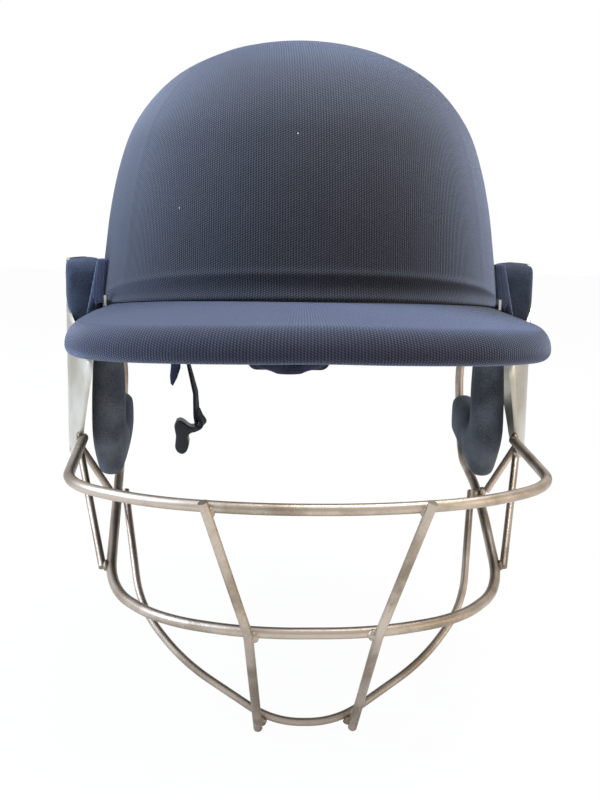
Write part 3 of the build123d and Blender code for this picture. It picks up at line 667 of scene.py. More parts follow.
class SmoothLine:
    """A smooth line through points of a plane, measured along its chords."""

    def __init__(self, points: Sequence[Sequence[float]], start: Sequence[float] | None = None) -> None:
        """Works out the line's runs and slopes.

        Args:
            points: The points that it passes through.
            start: Its direction at the first point, where that is known.
        """
        self.points = [Vector(point) for point in points]
        self.run = [0.0]
        for before, after in zip(self.points, self.points[1:]):
            self.run.append(self.run[-1] + (after - before).length)
        chords = [
            (self.points[i + 1] - self.points[i]) / (self.run[i + 1] - self.run[i])
            for i in range(len(self.points) - 1)
        ]
        self.slopes = [Vector(start) if start else chords[0]]
        for index in range(1, len(self.points) - 1):
            before = self.run[index] - self.run[index - 1]
            after = self.run[index + 1] - self.run[index]
            self.slopes.append((chords[index - 1] * after + chords[index] * before) / (before + after))
        self.slopes.append(chords[-1])

    @property
    def length(self) -> float:
        """The line's whole run."""
        return self.run[-1]

    def at(self, run: float) -> Vector:
        """The line's point at a run from its start."""
        index = min(max(bisect_right(self.run, run) - 1, 0), len(self.run) - 2)
        span = self.run[index + 1] - self.run[index]
        t = (run - self.run[index]) / span
        a, b = self.points[index], self.points[index + 1]
        ma, mb = self.slopes[index] * span, self.slopes[index + 1] * span
        return (
            a * (2 * t**3 - 3 * t**2 + 1)
            + ma * (t**3 - 2 * t**2 + t)
            + b * (3 * t**2 - 2 * t**3)
            + mb * (t**3 - t**2)
        )


def from_front(angle: float) -> float:
    """How far an angle lies from the front on either side, in radians."""
    return abs((angle + math.pi) % (2 * math.pi) - math.pi)


def rise(here: float, middle: float, width: float) -> float:
    """A soft rise that is 1 high at its middle."""
    return math.exp(-(((here - middle) / width) ** 2))


def last_run(low: float, high: float, holds: Callable[[float], bool]) -> float:
    """The last run at which a condition holds, found by halving.

    Args:
        low: A run at which it holds.
        high: A run at which it may no longer hold.
        holds: The condition.

    Returns:
        The run.
    """
    for _ in range(HALVINGS):
        middle = (low + high) / 2
        if holds(middle):
            low = middle
        else:
            high = middle
    return low


@dataclass
class Dome:
    """The rounded form that shell, cloth and liner share, in millimetres."""

    half_width: float = 99.6
    half_length: float = 128.0
    height: float = 124.0
    centre_y: float = 6.0
    outline_shares: tuple[tuple[float, float], ...] = (
        (0.0, 1.0), (0.265, 0.985), (0.450, 0.940), (0.657, 0.848), (0.778, 0.750), (0.857, 0.653),
        (0.923, 0.508), (0.965, 0.362), (1.000, 0.165), (1.030, -0.060), (1.032, -0.150), (0.985, -0.340),
    )
    steps: int = 180
    slope_step: float = 0.5
    crown_run: float = 60.0

    def __post_init__(self) -> None:
        """Works out the outline and the quarter arcs of a level section."""
        points = [(r * self.half_width, h * self.height) for r, h in self.outline_shares]
        self.line = SmoothLine(points, (1.0, 0.0))
        self.arcs = [0.0]
        for index in range(self.steps):
            angle = (index + 0.5) * math.pi / 2 / self.steps
            speed = math.hypot(self.half_width * math.cos(angle), self.half_length * math.sin(angle))
            self.arcs.append(self.arcs[-1] + speed * math.pi / 2 / self.steps)

    def point(self, angle: float, run: float, out: float = 0) -> Vector:
        """A point of the dome.

        Args:
            angle: Round from the front towards +X, in radians.
            run: The distance from the crown along the outline.
            out: How far outside the surface it lies.

        Returns:
            The point, in millimetres.
        """
        here = self.line.at(run)
        slope = self.line.at(run + self.slope_step) - self.line.at(max(run - self.slope_step, 0))
        slope.normalize()
        radius, height = here.x - out * slope.y, here.y + out * slope.x
        reach = here.x * self.half_length / self.half_width + (radius - here.x)
        return Vector((radius * math.sin(angle), self.centre_y - reach * math.cos(angle), height))

    def radius_at(self, z: float) -> float:
        """The half width of the level section at z, in the dome's lower part."""
        return self.line.at(last_run(self.crown_run, self.line.length, lambda run: self.line.at(run).y > z)).x

    def weave(self, angle: float, run: float) -> tuple[float, float]:
        """Where a point lies on the cloth: across from the middle of front or back, and down from the crown."""
        turn = from_front(angle)
        side = 1 if math.sin(angle) >= 0 else -1
        quarter = min(turn, math.pi - turn)
        spot = quarter / (math.pi / 2) * self.steps
        index = min(int(spot), self.steps - 1)
        arc = self.arcs[index] + (spot - index) * (self.arcs[index + 1] - self.arcs[index])
        return side * arc * self.line.at(run).x / self.half_width * MM, run * MM


@dataclass
class ShellCover:
    """The knit over the shell, with its ridge, side seams and rolled hem above the peak, in millimetres."""

    dome: Dome
    thickness: float = 0.9
    hem_line: tuple[tuple[float, float], ...] = (
        (-124.0, 4.5), (-45.0, -4.0), (-28.0, -14.0), (38.0, -14.0), (95.0, -30.0), (200.0, -30.0),
    )
    crown_run: float = 100.0
    front_end: float = 1.25
    ridge_above_hem: float = 10.8
    ridge_height: float = 0.75
    ridge_width: float = 1.5
    ridge_fall: float = 0.55
    hollow_depth: float = 0.66
    hollow_width: float = 2.6
    hollow_share: float = 0.55
    hem_roll: float = 0.8
    hem_roll_above: float = 0.9
    hem_roll_width: float = 1.5
    seam_angle: float = 55.6
    seam_height: float = 0.35
    seam_width: float = 0.011
    seam_fade: float = 12.0
    columns: int = 288
    rows: int = 110
    row_crowding: float = 1.35

    def hem_z(self, y: float) -> float:
        """The height of the hem at y."""
        y = max(y, self.hem_line[0][0])
        for (y0, z0), (y1, z1) in zip(self.hem_line, self.hem_line[1:]):
            if y <= y1:
                return z0 + (z1 - z0) * (y - y0) / (y1 - y0)
        return self.hem_line[-1][1]

    def hem_run(self, angle: float) -> float:
        """How far down the outline the hem lies at an angle."""

        def above(run: float) -> bool:
            """Whether the dome is still above the hem at a run."""
            spot = self.dome.point(angle, run)
            return spot.z > self.hem_z(spot.y)

        return last_run(self.crown_run, self.dome.line.length, above)

    def lift(self, angle: float, above_hem: float) -> float:
        """How far the cloth stands off the plain dome.

        Args:
            angle: Round from the front.
            above_hem: The distance up from the hem.

        Returns:
            The height outwards, in millimetres.
        """
        turn = from_front(angle)
        share = turn / self.front_end
        front = max(0.0, 1 - share**4)
        ridge = self.ridge_above_hem * (1 - self.ridge_fall * min(share, 1) ** 3)
        crest = self.ridge_height * rise(above_hem, ridge, self.ridge_width)
        hollow = self.hollow_depth * rise(above_hem, self.hollow_share * ridge, self.hollow_width)
        roll = self.hem_roll * rise(above_hem, self.hem_roll_above, self.hem_roll_width)
        seam = self.seam_height * rise(turn, math.radians(self.seam_angle), self.seam_width)
        return front * (crest - hollow) + roll + seam * min(1.0, above_hem / self.seam_fade)

    def build(self) -> bpy.types.Object:
        """Builds the cover from a grid laid over the dome.

        Returns:
            The finished cover.
        """
        bm, cloth = cloth_grid(self.columns, self.rows)
        angles = [column / self.columns * 2 * math.pi for column in range(self.columns + 1)]
        hems = [self.hem_run(angle) for angle in angles]
        places: dict[bmesh.types.BMVert, tuple[float, float]] = {}
        for vert in bm.verts:
            column = round((vert.co.x + 0.5) * self.columns)
            angle, hem = angles[column], hems[column]
            down = 0.5 - vert.co.y
            run = hem * (1 - (1 - down) ** self.row_crowding)
            places[vert] = self.dome.weave(angle, run)
            vert.co = self.dome.point(angle, run, self.lift(angle, hem - run)) * MM
        lay_cloth(bm.faces, cloth, places)
        bmesh.ops.remove_doubles(bm, verts=bm.verts, dist=MERGE)
        bmesh.ops.recalc_face_normals(bm, faces=bm.faces)
        cover = piece_of(bm, "knit_cover", "helmet", Finish.SHELL_KNIT)
        thicken(cover, self.thickness, offset=-1, even=True)
        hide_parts("shell_cover")
        return cover


@dataclass
class Peak:
    """The padded peak, wrapped in the same knit, in millimetres.

    Its ribs run from the shell over the lip and back below, and stand side by side along the peak's outline.
    """

    dome: Dome
    half_width: float = 106.0
    front_y: float = -172.0
    rear_y: float = -53.0
    thickness: float = 14.5
    root: tuple[float, float, float] = (-40.0, 14.0, 31.0)
    lip: tuple[float, float, float] = (-186.5, -3.5, 9.5)
    lip_sink: float = 2.2
    end_lift: float = 3.4
    end_lift_rate: float = 1.6
    top_rounding: float = 9.0
    foot_rounding: float = 4.6
    foot_blend: float = 14.0
    edge_lean: float = 0.55
    tail_rounding: float = 9.0
    tail_pull: float = 4.0
    tail_least: float = 0.0016
    hub_y: float = -28.0
    root_inset: float = 30.0
    shell_gap: float = -0.8
    edge_shares: tuple[tuple[float, float], ...] = (
        (0.985, 0.0), (1.0, 0.3), (0.98, 0.5), (0.90, 0.675), (0.74, 0.822), (0.49, 0.940), (0.25, 0.992), (0.0, 1.0),
    )
    ribs: int = 260
    across: int = 26
    top_steps: int = 10
    foot_steps: int = 8
    rib_spread: float = 0.9

    def top(self, x: float, y: float) -> float:
        """The height of the upper face at x and y."""
        root_y, root_z, root_droop = self.root
        lip_y, lip_z, lip_droop = self.lip
        share = (y - root_y) / (lip_y - root_y)
        droop = root_droop + share * (lip_droop - root_droop)
        edge = self.half_width + self.thickness
        arc = (edge**2 + droop**2) / (2 * droop)
        height = root_z + share * (lip_z - root_z) - arc + math.sqrt(arc**2 - x**2)
        lift = self.end_lift * (abs(x) / self.half_width) ** 6 * min(1.0, max(0.0, share * self.end_lift_rate))
        return height - self.lip_sink * share**4 + lift

    def inner(self, way: Vector, z: float) -> float:
        """How far from the hub the shell lies, in a level direction at height z."""
        a = self.dome.radius_at(z) + self.shell_gap
        b = a * self.dome.half_length / self.dome.half_width
        y = self.hub_y - self.dome.centre_y
        p = (way.x / a) ** 2 + (way.y / b) ** 2
        q = way.y * y / b**2
        return (-q + math.sqrt(q**2 - p * ((y / b) ** 2 - 1))) / p

    def rib(self, outer: Vector, tail: float) -> list[tuple[Vector, float]]:
        """One rib from the shell over the lip and back below.

        Args:
            outer: The outline's point.
            tail: The distance from the nearer end of the outline.

        Returns:
            The rib's points with their distances along the cloth.
        """
        hub = Vector((0, self.hub_y))
        way = (outer - hub).normalized()
        reach = (outer - hub).length
        close = max(0.0, 1 - tail / self.tail_rounding)
        full = math.sqrt(max(1 - close**2, self.tail_least))
        reach -= (1 - full) * self.tail_pull
        start = self.inner(way, self.top(*(hub + way * (reach - self.root_inset))))
        half = self.thickness / 2
        spots: list[tuple[float, float]] = []
        flat = reach - self.top_rounding
        for step in range(self.across + 1):
            far = start + (flat - start) * step / self.across
            spots.append((far, self.top(*(hub + way * far)) - half + half * full))
        ledge = self.top(*(hub + way * flat))
        high = spots[-1][1]
        low = ledge - half - half * full
        split = low + (high - low) * self.foot_rounding / (self.foot_rounding + self.top_rounding)
        slope = (self.top(outer.x, outer.y) - ledge) * self.edge_lean
        for step in range(1, self.top_steps + 1):
            turn = step / self.top_steps * math.pi / 2
            far = flat + self.top_rounding * math.sin(turn)
            spots.append((far, split + (high - split) * math.cos(turn) + slope * math.sin(turn)))
        for step in range(1, self.foot_steps + 1):
            turn = step / self.foot_steps * math.pi / 2
            far = reach - self.foot_rounding * (1 - math.cos(turn))
            spots.append((far, split - (split - low) * math.sin(turn) + slope * math.cos(turn)))
        flat = reach - self.foot_rounding
        back = self.across // 2
        for step in range(1, back + 1):
            far = flat - (flat - start) * step / back
            foot = self.top(*(hub + way * far)) - half - half * full
            spots.append((far, low + (foot - low) * min(1.0, (flat - far) / self.foot_blend)))
        rib: list[tuple[Vector, float]] = []
        for far, z in spots:
            point = Vector((*(hub + way * far), z))
            rib.append((point, rib[-1][1] + (point - rib[-1][0]).length if rib else 0.0))
        return rib

    def build(self) -> bpy.types.Object:
        """Builds the peak.

        Returns:
            The finished peak.
        """
        reach = self.front_y - self.rear_y
        half = [(x * self.half_width, self.rear_y + y * reach) for x, y in self.edge_shares]
        outline = SmoothLine(half + [(-x, y) for x, y in reversed(half[:-1])])
        runs = [outline.length * number / self.ribs for number in range(self.ribs + 1)]
        ribs = [self.rib(outline.at(run), min(run, outline.length - run)) for run in runs]
        around = len(ribs[0])
        bm, cloth = cloth_grid(self.ribs, around)
        places: dict[bmesh.types.BMVert, tuple[float, float]] = {}
        for vert in bm.verts:
            column = round((vert.co.x + 0.5) * self.ribs)
            row = round((0.5 - vert.co.y) * around)
            point, along = ribs[column][row % around]
            if row == around:
                along = ribs[column][-1][1] + (point - ribs[column][-1][0]).length
            places[vert] = ((runs[column] - outline.length / 2) * self.rib_spread * MM, along * MM)
            vert.co = point * MM
        lay_cloth(bm.faces, cloth, places)
        bmesh.ops.remove_doubles(bm, verts=bm.verts, dist=MERGE)
        ends = bmesh.ops.holes_fill(bm, edges=[edge for edge in bm.edges if edge.is_boundary], sides=0)
        lay_cloth(ends["faces"], cloth, places)
        bmesh.ops.recalc_face_normals(bm, faces=bm.faces)
        peak = piece_of(bm, "knit_peak", "helmet", Finish.PEAK_KNIT)
        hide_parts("peak")
        return peak


@dataclass
class SideFlap:
    """The cloth flaps in front of the temple lobes, their inner feet tucked below the peak, in millimetres."""

    voxel: float = 0.7
    smoothing: int = 14
    tuck_inside: float = 100.5
    tuck_below: float = 0.5
    tuck: float = 3.2

    def build(self, side: str) -> bpy.types.Object:
        """Builds one flap, its edges rounded off.

        Args:
            side: Left or right.

        Returns:
            The finished flap.
        """
        node = f"side_flap_{side}"
        flap = piece_of(copy_of(node), f"temple_flap_{side}", "helmet", Finish.FLAP_KNIT_PAINTED_LIGHT)
        even_out(flap, self.voxel)
        soften(flap, self.smoothing)
        settle(flap)
        for vert in flap.data.vertices:
            if abs(vert.co.x) < self.tuck_inside * MM and vert.co.z < self.tuck_below * MM:
                vert.co.z -= self.tuck * MM
        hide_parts(node)
        return flap


@dataclass
class EarPlate:
    """The ear plates, their edges rolled over."""

    rolled: float = 0.45
    flat_degrees: float = 1.5
    edge_degrees: float = 50.0
    crease_degrees: float = 40.0

    def build(self, side: str) -> bpy.types.Object:
        """Builds one plate.

        Args:
            side: Left or right.

        Returns:
            The finished plate.
        """
        node = f"ear_plate_{side}"
        bm = copy_of(node)
        bmesh.ops.dissolve_limit(bm, angle_limit=math.radians(self.flat_degrees), verts=bm.verts, edges=bm.edges)
        roll_edges(bm, self.rolled, self.edge_degrees)
        plate = piece_of(bm, f"formed_plate_{side}", "helmet", Finish.PLATE)
        plate.data.set_sharp_from_angle(angle=math.radians(self.crease_degrees))
        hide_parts(node)
        return plate


@dataclass
class Pads:
    """The padded pieces: their forms swell from slightly smaller copies of the solids."""

    voxel: float = 4.0
    shrink: float = 1.0
    fine_nodes: tuple[str, ...] = ("temple", "ear")
    fine_voxel: float = 2.2
    fine_shrink: float = 0.35
    pressure: float = 4.0
    last_frame: int = 20
    cap: float = 2.2
    smoothing: int = 3

    def swell(self, pad: bpy.types.Object) -> None:
        """Runs the cloth simulation on a pad and caps how far it moves.

        Args:
            pad: The pad, already remeshed.
        """
        start = [vert.co.copy() for vert in pad.data.vertices]
        cloth = pad.modifiers.new("swell", "CLOTH")
        cloth.settings.use_pressure = True
        cloth.settings.uniform_pressure_force = self.pressure
        cloth.settings.effector_weights.gravity = 0
        cloth.point_cache.frame_start = 1
        cloth.point_cache.frame_end = self.last_frame
        for number in range(1, self.last_frame + 1):
            bpy.context.scene.frame_set(number)
        settle(pad)
        bpy.context.scene.frame_set(1)
        for vert, home in zip(pad.data.vertices, start):
            move = vert.co - home
            if move.length > self.cap * MM:
                vert.co = home + move.normalized() * self.cap * MM

    def build(self, node: str, name: str, slot: str, finish: Finish, fill: float) -> bpy.types.Object:
        """Builds one pad in the room that its solid holds.

        Args:
            node: The solid's name.
            name: The pad's name.
            slot: Not used.
            finish: The pad's finish.
            fill: Not used.

        Returns:
            The finished pad.
        """
        pad = piece_of(copy_of(node), name, "helmet", finish)
        fine = node.startswith(self.fine_nodes)
        even_out(pad, self.fine_voxel if fine else self.voxel)
        shrink = pad.modifiers.new("shrink", "DISPLACE")
        shrink.strength = -(self.fine_shrink if fine else self.shrink) * MM
        shrink.mid_level = 0
        settle(pad)
        self.swell(pad)
        soften(pad, self.smoothing)
        subdivide = pad.modifiers.new("fine", "SUBSURF")
        subdivide.levels = subdivide.render_levels = 1
        settle(pad)
        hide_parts(node)
        return pad


@dataclass
class GrilleWelds:
    """The beads of weld where the grille's rods meet each other and the ear plates.

    A joint names two solids and the bead's half sizes in millimetres; a paired solid has a left and a right one.
    """

    unevenness: float = 0.07
    ripples: tuple[float, float, float] = (5, 4, 6)
    samples: int = 900
    joints: tuple[tuple[str, str, tuple[float, float, float]], ...] = (
        ("grille_upright", "grille_top_bar", (2.6, 1.5, 2.4)),
        ("grille_upright", "grille_middle_bar", (2.6, 1.5, 2.4)),
        ("grille_upright", "grille_chin_bar", (2.3, 1.4, 2.1)),
        ("grille_strut", "grille_middle_bar", (1.6, 3.0, 2.4)),
        ("grille_brace", "grille_middle_bar", (1.8, 2.8, 2.2)),
        ("grille_chin_bar", "grille_middle_bar", (1.8, 3.2, 2.4)),
        ("grille_strut", "ear_plate", (1.6, 2.6, 2.4)),
        ("grille_brace", "ear_plate", (1.6, 2.4, 2.2)),
        ("grille_top_bar", "ear_plate", (1.5, 3.2, 2.5)),
    )
    paired: tuple[str, ...] = ("grille_upright", "grille_strut", "grille_brace", "ear_plate")

    def bead(self, name: str, place: Sequence[float], size: Sequence[float], seed: int) -> bpy.types.Object:
        """A small uneven bead of weld.

        Args:
            name: The bead's name.
            place: Its middle.
            size: Its half sizes.
            seed: What makes it differ from the next.

        Returns:
            The bead.
        """
        bm = bmesh.new()
        bmesh.ops.create_icosphere(bm, subdivisions=3, radius=1)
        for vert in bm.verts:
            x, y, z = (ripple * part for ripple, part in zip(self.ripples, vert.co))
            wave = math.sin(x + seed) * math.cos(y - seed) + math.sin(z + seed)
            vert.co *= 1 + self.unevenness * wave
        bmesh.ops.scale(bm, vec=Vector(size) * MM, verts=bm.verts)
        bmesh.ops.translate(bm, vec=Vector(place) * MM, verts=bm.verts)
        return piece_of(bm, name, "helmet", Finish.WELD)

    def contact(self, nodes: Sequence[str], side: int) -> Vector:
        """Where two welded solids come nearest each other on one side of the helmet.

        Args:
            nodes: The two solids.
            side: 1 for the left, -1 for the right.

        Returns:
            The middle of the nearest two points, in millimetres.
        """
        points = [[v.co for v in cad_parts[node].data.vertices if v.co.x * side > 0] for node in nodes]
        first, second = (spots[:: max(1, len(spots) // self.samples)] for spots in points)
        best, spot = math.inf, Vector()
        for p in first:
            for q in second:
                gap = (p - q).length_squared
                if gap < best:
                    best, spot = gap, (p + q) / 2
        return spot / MM

    def build(self) -> None:
        """Builds a bead at each joint."""
        for number, (first, second, size) in enumerate(self.joints):
            for side, word in ((1, "left"), (-1, "right")):
                nodes = [f"{node}_{word}" if node in self.paired else node for node in (first, second)]
                self.bead(f"weld_{number}_{word}", self.contact(nodes, side), size, seed=number * 7 + side)


@dataclass
class ChinStrap:
    """The chin strap's two halves and the tab beside the long one, in millimetres.

    Places are given as x and z in the plane across the helmet at y.
    """

    y: float = 85.0
    width: float = 13.0
    thickness: float = 1.5
    ribs: int = 8
    step: float = 0.8
    least_steps: int = 24
    pin: tuple[float, float] = (-62.0, -37.3)
    tip: tuple[float, float] = (-54.5, -86.5)
    knee: tuple[float, float] = (-57.5, -68.0)
    eye: float = 2.2
    tip_eye: float = 1.85
    eye_steps: int = 14
    twist: float = 9.0
    twist_below: float = 50.0
    twist_run: float = 30.0
    edge_width: float = 0.22
    edge_degrees: float = 60.0
    end_width: float = 12.8
    end_rounding: float = 0.8
    end_points: int = 72
    end_outline: tuple[tuple[float, float], ...] = (
        (-53.2, -84.6), (-52.3, -86.6), (-53.4, -89.0), (-57.0, -91.2), (-60.6, -92.4), (-61.9, -94.6),
        (-61.3, -98.0), (-61.9, -101.6), (-63.4, -104.1), (-65.4, -105.0), (-67.9, -104.0), (-69.6, -101.2),
        (-69.5, -97.6), (-69.2, -93.6), (-69.8, -90.4), (-70.0, -87.0), (-69.0, -84.9), (-67.0, -84.3),
        (-64.6, -85.2), (-62.2, -87.2), (-60.4, -88.2), (-57.6, -87.6), (-55.6, -85.2), (-54.4, -84.2),
        (-53.2, -84.6),
    )
    tab_thickness: float = 1.1
    tab_outline: tuple[tuple[float, float], ...] = (
        (-73.0, -33.2), (-67.6, -33.2), (-66.4, -47.0), (-66.6, -53.0), (-68.6, -59.0), (-71.2, -64.0),
        (-72.6, -62.6), (-73.0, -58.0), (-72.4, -52.0),
    )

    def eyelet(
        self, centre: tuple[float, float], radius: float, start: float, turn: float
    ) -> list[tuple[float, float]]:
        """Points round a pin.

        Args:
            centre: The pin's place, as x and z.
            radius: The radius of the cloth's middle.
            start: Where the arc starts, in degrees from +X towards +Z.
            turn: How far it goes.

        Returns:
            The arc's points.
        """
        angles = [math.radians(start + turn * step / self.eye_steps) for step in range(self.eye_steps + 1)]
        return [(centre[0] + radius * math.cos(a), centre[1] + radius * math.sin(a)) for a in angles]

    def ribbon(self, name: str, route: Sequence[tuple[float, float]], body: str) -> bpy.types.Object:
        """A flat ribbon of webbing along a route, twisted a little towards its lower end.

        Args:
            name: The ribbon's name.
            route: Points as x and z.
            body: The body that it moves with.

        Returns:
            The ribbon, still a sheet.
        """
        points = [Vector((x, 0, z)) for x, z in route]
        runs = [0.0]
        for a, b in zip(points, points[1:]):
            runs.append(runs[-1] + (b - a).length)
        bm, cloth = cloth_grid(self.ribs, max(self.least_steps, round(runs[-1] / self.step)))
        places: dict[bmesh.types.BMVert, tuple[float, float]] = {}
        for vert in bm.verts:
            run = (0.5 - vert.co.y) * runs[-1]
            index = min(max(bisect_right(runs, run) - 1, 0), len(runs) - 2)
            t = (run - runs[index]) / (runs[index + 1] - runs[index])
            spot = points[index].lerp(points[index + 1], t)
            half = vert.co.x * self.width
            places[vert] = (half * MM, run * MM)
            share = min(1.0, max(0.0, (-spot.z - self.twist_below) / self.twist_run))
            turn = math.radians(self.twist) * share
            vert.co = Vector((spot.x + half * math.sin(turn), self.y + half * math.cos(turn), spot.z)) * MM
        lay_cloth(bm.faces, cloth, places)
        bmesh.ops.recalc_face_normals(bm, faces=bm.faces)
        return piece_of(bm, name, body, Finish.WEBBING)

    def finish_edges(self, sheet: bpy.types.Object, thickness: float) -> None:
        """Gives a sheet its thickness and soft edges."""
        thicken(sheet, thickness, offset=0, even=False)
        edge = sheet.modifiers.new("edge", "BEVEL")
        edge.width = self.edge_width * MM
        edge.segments = 2
        edge.limit_method = "ANGLE"
        edge.angle_limit = math.radians(self.edge_degrees)

    def long_route(self) -> list[tuple[float, float]]:
        """The long half: up round the anchor's pin, down past the knee and round the end piece's pin."""
        (px, pz), (tx, tz) = self.pin, self.tip
        route = [(px + 1.9, pz - 12.0), (px + 2.5, pz - 6.0)]
        route += self.eyelet(self.pin, self.eye, -20, 220)
        route += [(px - 1.0, pz - 7.0), (px + 0.2, pz - 13.0), self.knee, (tx - 2.4, tz + 5.0)]
        route += self.eyelet(self.tip, self.tip_eye, 160, 230)
        return route + [(tx - 0.6, tz + 4.2), (tx - 2.2, tz + 8.0)]

    def short_route(self) -> list[tuple[float, float]]:
        """The short half: round its pin and down into the receiver."""
        px, pz = -self.pin[0], self.pin[1]
        route = [(px - 0.9, pz - 9.6), (px - 2.2, pz - 4.0)]
        route += self.eyelet((px, pz), self.eye, 200, -220)
        return route + [(px + 2.2, pz - 4.0), (px + 0.8, pz - 9.6)]

    def build_end(self) -> bpy.types.Object:
        """Builds the end piece: two soft lobes on an arm round its pin.

        Returns:
            The finished end piece.
        """
        outline = SmoothLine(self.end_outline)
        bm = bmesh.new()
        rim = [outline.at(outline.length * step / self.end_points) for step in range(self.end_points)]
        side = bm.faces.new([bm.verts.new(Vector((p.x, self.y - self.end_width / 2, p.y)) * MM) for p in rim])
        grown = bmesh.ops.extrude_face_region(bm, geom=[side])
        verts = [part for part in grown["geom"] if isinstance(part, bmesh.types.BMVert)]
        bmesh.ops.translate(bm, vec=(0, self.end_width * MM, 0), verts=verts)
        roll_edges(bm, self.end_rounding, self.edge_degrees)
        end = piece_of(bm, "strap_end_tongue", "strap_end", Finish.GLOSSY)
        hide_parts("strap_end_piece")
        return end

    def build_tab(self) -> bpy.types.Object:
        """Builds the tab, cut to a point.

        Returns:
            The finished tab.
        """
        bm = bmesh.new()
        cloth = bm.loops.layers.uv.new(WEAVE)
        verts = [bm.verts.new(Vector((x, self.y, z)) * MM) for x, z in self.tab_outline]
        lay_cloth([bm.faces.new(verts)], cloth, {vert: (vert.co.x, vert.co.z) for vert in verts})
        tab = piece_of(bm, "strap_side_tab", "helmet", Finish.TAPE)
        self.finish_edges(tab, self.tab_thickness)
        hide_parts("strap_tab")
        return tab

    def length(self, route: Sequence[tuple[float, float]]) -> float:
        """The cut length of a route, in metres."""
        return sum(math.dist(a, b) for a, b in zip(route, route[1:])) * MM

    def build(self) -> None:
        """Builds both halves, the end piece and the tab."""
        halves = (
            ("strap_long_half", "chin_strap_long", "strap_long", self.long_route(), "strap_anchor_right"),
            ("strap_short_half", "chin_strap_short", "strap_short", self.short_route(), "strap_anchor_left"),
        )
        for name, node, body, route, hook in halves:
            half = self.ribbon(name, route, body)
            self.finish_edges(half, self.thickness)
            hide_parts(node)
        self.build_end()
        self.build_tab()


@dataclass(frozen=True)
class Lamp:
    """An area lamp: its place and width in metres, its power in watts."""

    name: str
    place: tuple[float, float, float]
    power: float
    size: float
    colour: Colour

    def hang(self, target: Vector) -> None:
        """Adds the lamp, aimed at a point."""
        data = bpy.data.lights.new(self.name, "AREA")
        data.energy, data.size, data.color = self.power, self.size, self.colour
        lamp = add_object(self.name, data)
        lamp.location = self.place
        lamp.rotation_euler = (target - lamp.location).to_track_quat("-Z", "Y").to_euler()


@dataclass
class Studio:
    """Camera, lamps, floor and world."""

    camera_place: tuple[float, float, float] = (-28.66, -578.755, 38.449)
    yaw: float = 3.0
    pitch: float = 9.444
    roll: float = 0.9
    focal: float = 49.58
    sensor: float = 36
    clip: Range = (0.01, 50)
    floor_z: float = -187.5
    floor_half_m: float = 4
    floor_colour: Colour = (0.86, 0.84, 0.80)
    floor_rough: float = 0.9
    floor_shown: float = 0.97
    floor_mirrored: float = 0.35
    white: Colour = (1, 1, 1)
    world_light: Colour = (0.95, 0.96, 1)
    world_strength: float = 0.26
    world_mirrored: float = 0.6
    lamp_target: tuple[float, float, float] = (0, -0.02, -0.02)
    lamps: tuple[Lamp, ...] = (
        Lamp("window", (-1.3, -0.35, 0.85), 36, 1.0, (0.58, 0.74, 1.0)),
        Lamp("ceiling", (0.30, -0.05, 1.4), 30, 0.8, (0.94, 0.97, 1.0)),
        Lamp("room", (1.2, -0.7, 0.1), 5, 0.9, (1.0, 0.86, 0.70)),
    )

    def add_camera(self) -> None:
        """Adds the camera at the photograph's viewpoint."""
        data = bpy.data.cameras.new("camera")
        data.lens = self.focal
        data.sensor_width = self.sensor
        data.clip_start, data.clip_end = self.clip
        camera = add_object("camera", data)
        camera.location = Vector(self.camera_place) * MM
        aim = Euler((math.radians(90 - self.pitch), 0, math.radians(-self.yaw)), "XYZ").to_matrix()
        tilt = Matrix.Rotation(math.radians(self.roll), 3, "Z")
        camera.rotation_euler = (aim @ tilt).to_euler()
        bpy.context.scene.camera = camera

    def add_world(self) -> None:
        """Adds a soft world that looks white behind the helmet."""
        world = bpy.data.worlds.new("world")
        bpy.context.scene.world = world
        world.use_nodes = True
        w = Wiring(world.node_tree)
        shown = w.tree.nodes["Background"]
        soft = w.add("ShaderNodeBackground")
        for node, colour, strength in ((shown, self.white, 1), (soft, self.world_light, self.world_strength)):
            w.feed(node.inputs["Color"], (*colour, 1))
            w.feed(node.inputs["Strength"], strength)
        path = w.add("ShaderNodeLightPath")
        seen = w.calc("MAXIMUM", path.outputs["Is Camera Ray"], path.outputs["Is Transmission Ray"])
        share = w.calc("MULTIPLY_ADD", path.outputs["Is Glossy Ray"], self.world_mirrored, seen)
        mixed = w.mix(w.calc("MINIMUM", share, 1), soft.outputs[0], shown.outputs[0])
        w.feed(w.tree.nodes["World Output"].inputs[0], mixed)

    def add_floor(self) -> None:
        """Adds a pale floor that keeps a faint shadow."""
        bm = bmesh.new()
        bmesh.ops.create_grid(bm, x_segments=1, y_segments=1, size=self.floor_half_m)
        bmesh.ops.translate(bm, vec=(0, 0, self.floor_z * MM), verts=bm.verts)
        floor = add_object("floor", mesh_of(bm, "floor"))
        n = Nodes("pale_floor")
        n.shade({"Base Color": (*self.floor_colour, 1), "Roughness": self.floor_rough})
        glow = n.add("ShaderNodeEmission")
        n.feed(glow.inputs["Color"], (*self.white, 1))
        path = n.add("ShaderNodeLightPath")
        share = n.calc("MULTIPLY", path.outputs["Is Camera Ray"], self.floor_shown)
        mirrored = n.calc("MULTIPLY", path.outputs["Is Glossy Ray"], self.floor_mirrored)
        mixed = n.mix(n.calc("MAXIMUM", share, mirrored), n.shader.outputs[0], glow.outputs[0])
        n.feed(n.tree.nodes["Material Output"].inputs[0], mixed)
        floor.data.materials.append(n.material)

    def build(self) -> None:
        """Builds camera, world, floor and lamps."""
        self.add_camera()
        self.add_world()
        self.add_floor()
        for lamp in self.lamps:
            lamp.hang(Vector(self.lamp_target))
        bpy.context.scene.view_settings.view_transform = "Standard"


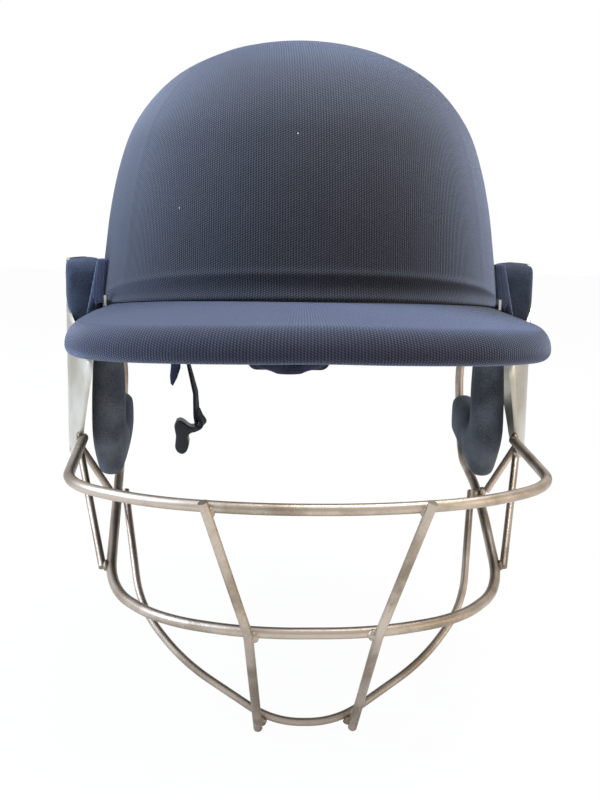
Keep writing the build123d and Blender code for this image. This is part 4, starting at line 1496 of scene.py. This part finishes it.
# The solids that are shown as they are, by finish.
CARRIED: dict[Finish, tuple[str, ...]] = {
    Finish.SHELL: ("shell",),
    Finish.FOAM: ("foam_liner",),
    Finish.RUBBER: ("rim_edging",),
    Finish.WIRE: (
        "grille_top_bar", "grille_middle_bar", "grille_chin_bar", "grille_upright_left", "grille_upright_right",
        "grille_strut_left", "grille_strut_right", "grille_brace_left", "grille_brace_right",
    ),
    Finish.BRIGHT: ("plate_screws", "plate_nuts", "wire_screws", "wire_nuts", "peak_clip_left", "peak_clip_right"),
    Finish.NAVY_PLASTIC: (
        "nape_housing", "nape_housing_cover", "nape_band_left", "nape_band_right", "nape_pinion",
        "strap_anchor_left", "strap_anchor_right",
    ),
    Finish.BLACK_PLASTIC: ("nape_dial",),
    Finish.GLOSSY: ("strap_receiver",),
}

# A pad's solid, name, slot, finish and fill, and whether there is one on each side.
PADS: tuple[tuple[str, str, str, Finish, float, bool], ...] = (
    ("temple_pad", "temple_lobe", "charcoal", Finish.LOBE, 0.8, True),
    ("ear_pad", "ear_cushion", "charcoal", Finish.CHARCOAL, 0.7, True),
    ("crown_pad", "crown_cushion", "comfort", Finish.COMFORT, 0.6, False),
    ("front_pad", "brow_cushion", "comfort", Finish.COMFORT, 0.6, False),
    ("side_pad", "side_cushion", "comfort", Finish.COMFORT, 0.6, True),
    ("rear_pad", "rear_cushion", "comfort", Finish.COMFORT, 0.6, False),
    ("nape_pad", "nape_cushion", "comfort", Finish.COMFORT, 0.7, False),
)


def main() -> None:
    """Builds the scene in order."""
    Studio().build()
    for finish, nodes in CARRIED.items():
        for node in nodes:
            dress(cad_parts[node], finish)
    dome = Dome()
    ShellCover(dome).build()
    Peak(dome).build()
    for side in ("left", "right"):
        SideFlap().build(side)
        EarPlate().build(side)
    pads = Pads()
    for node, name, slot, finish, fill, paired in PADS:
        for end in ("_left", "_right") if paired else ("",):
            pads.build(node + end, name + end, slot, finish, fill)
    GrilleWelds().build()
    ChinStrap().build()


if __name__ == "__main__":
    main()
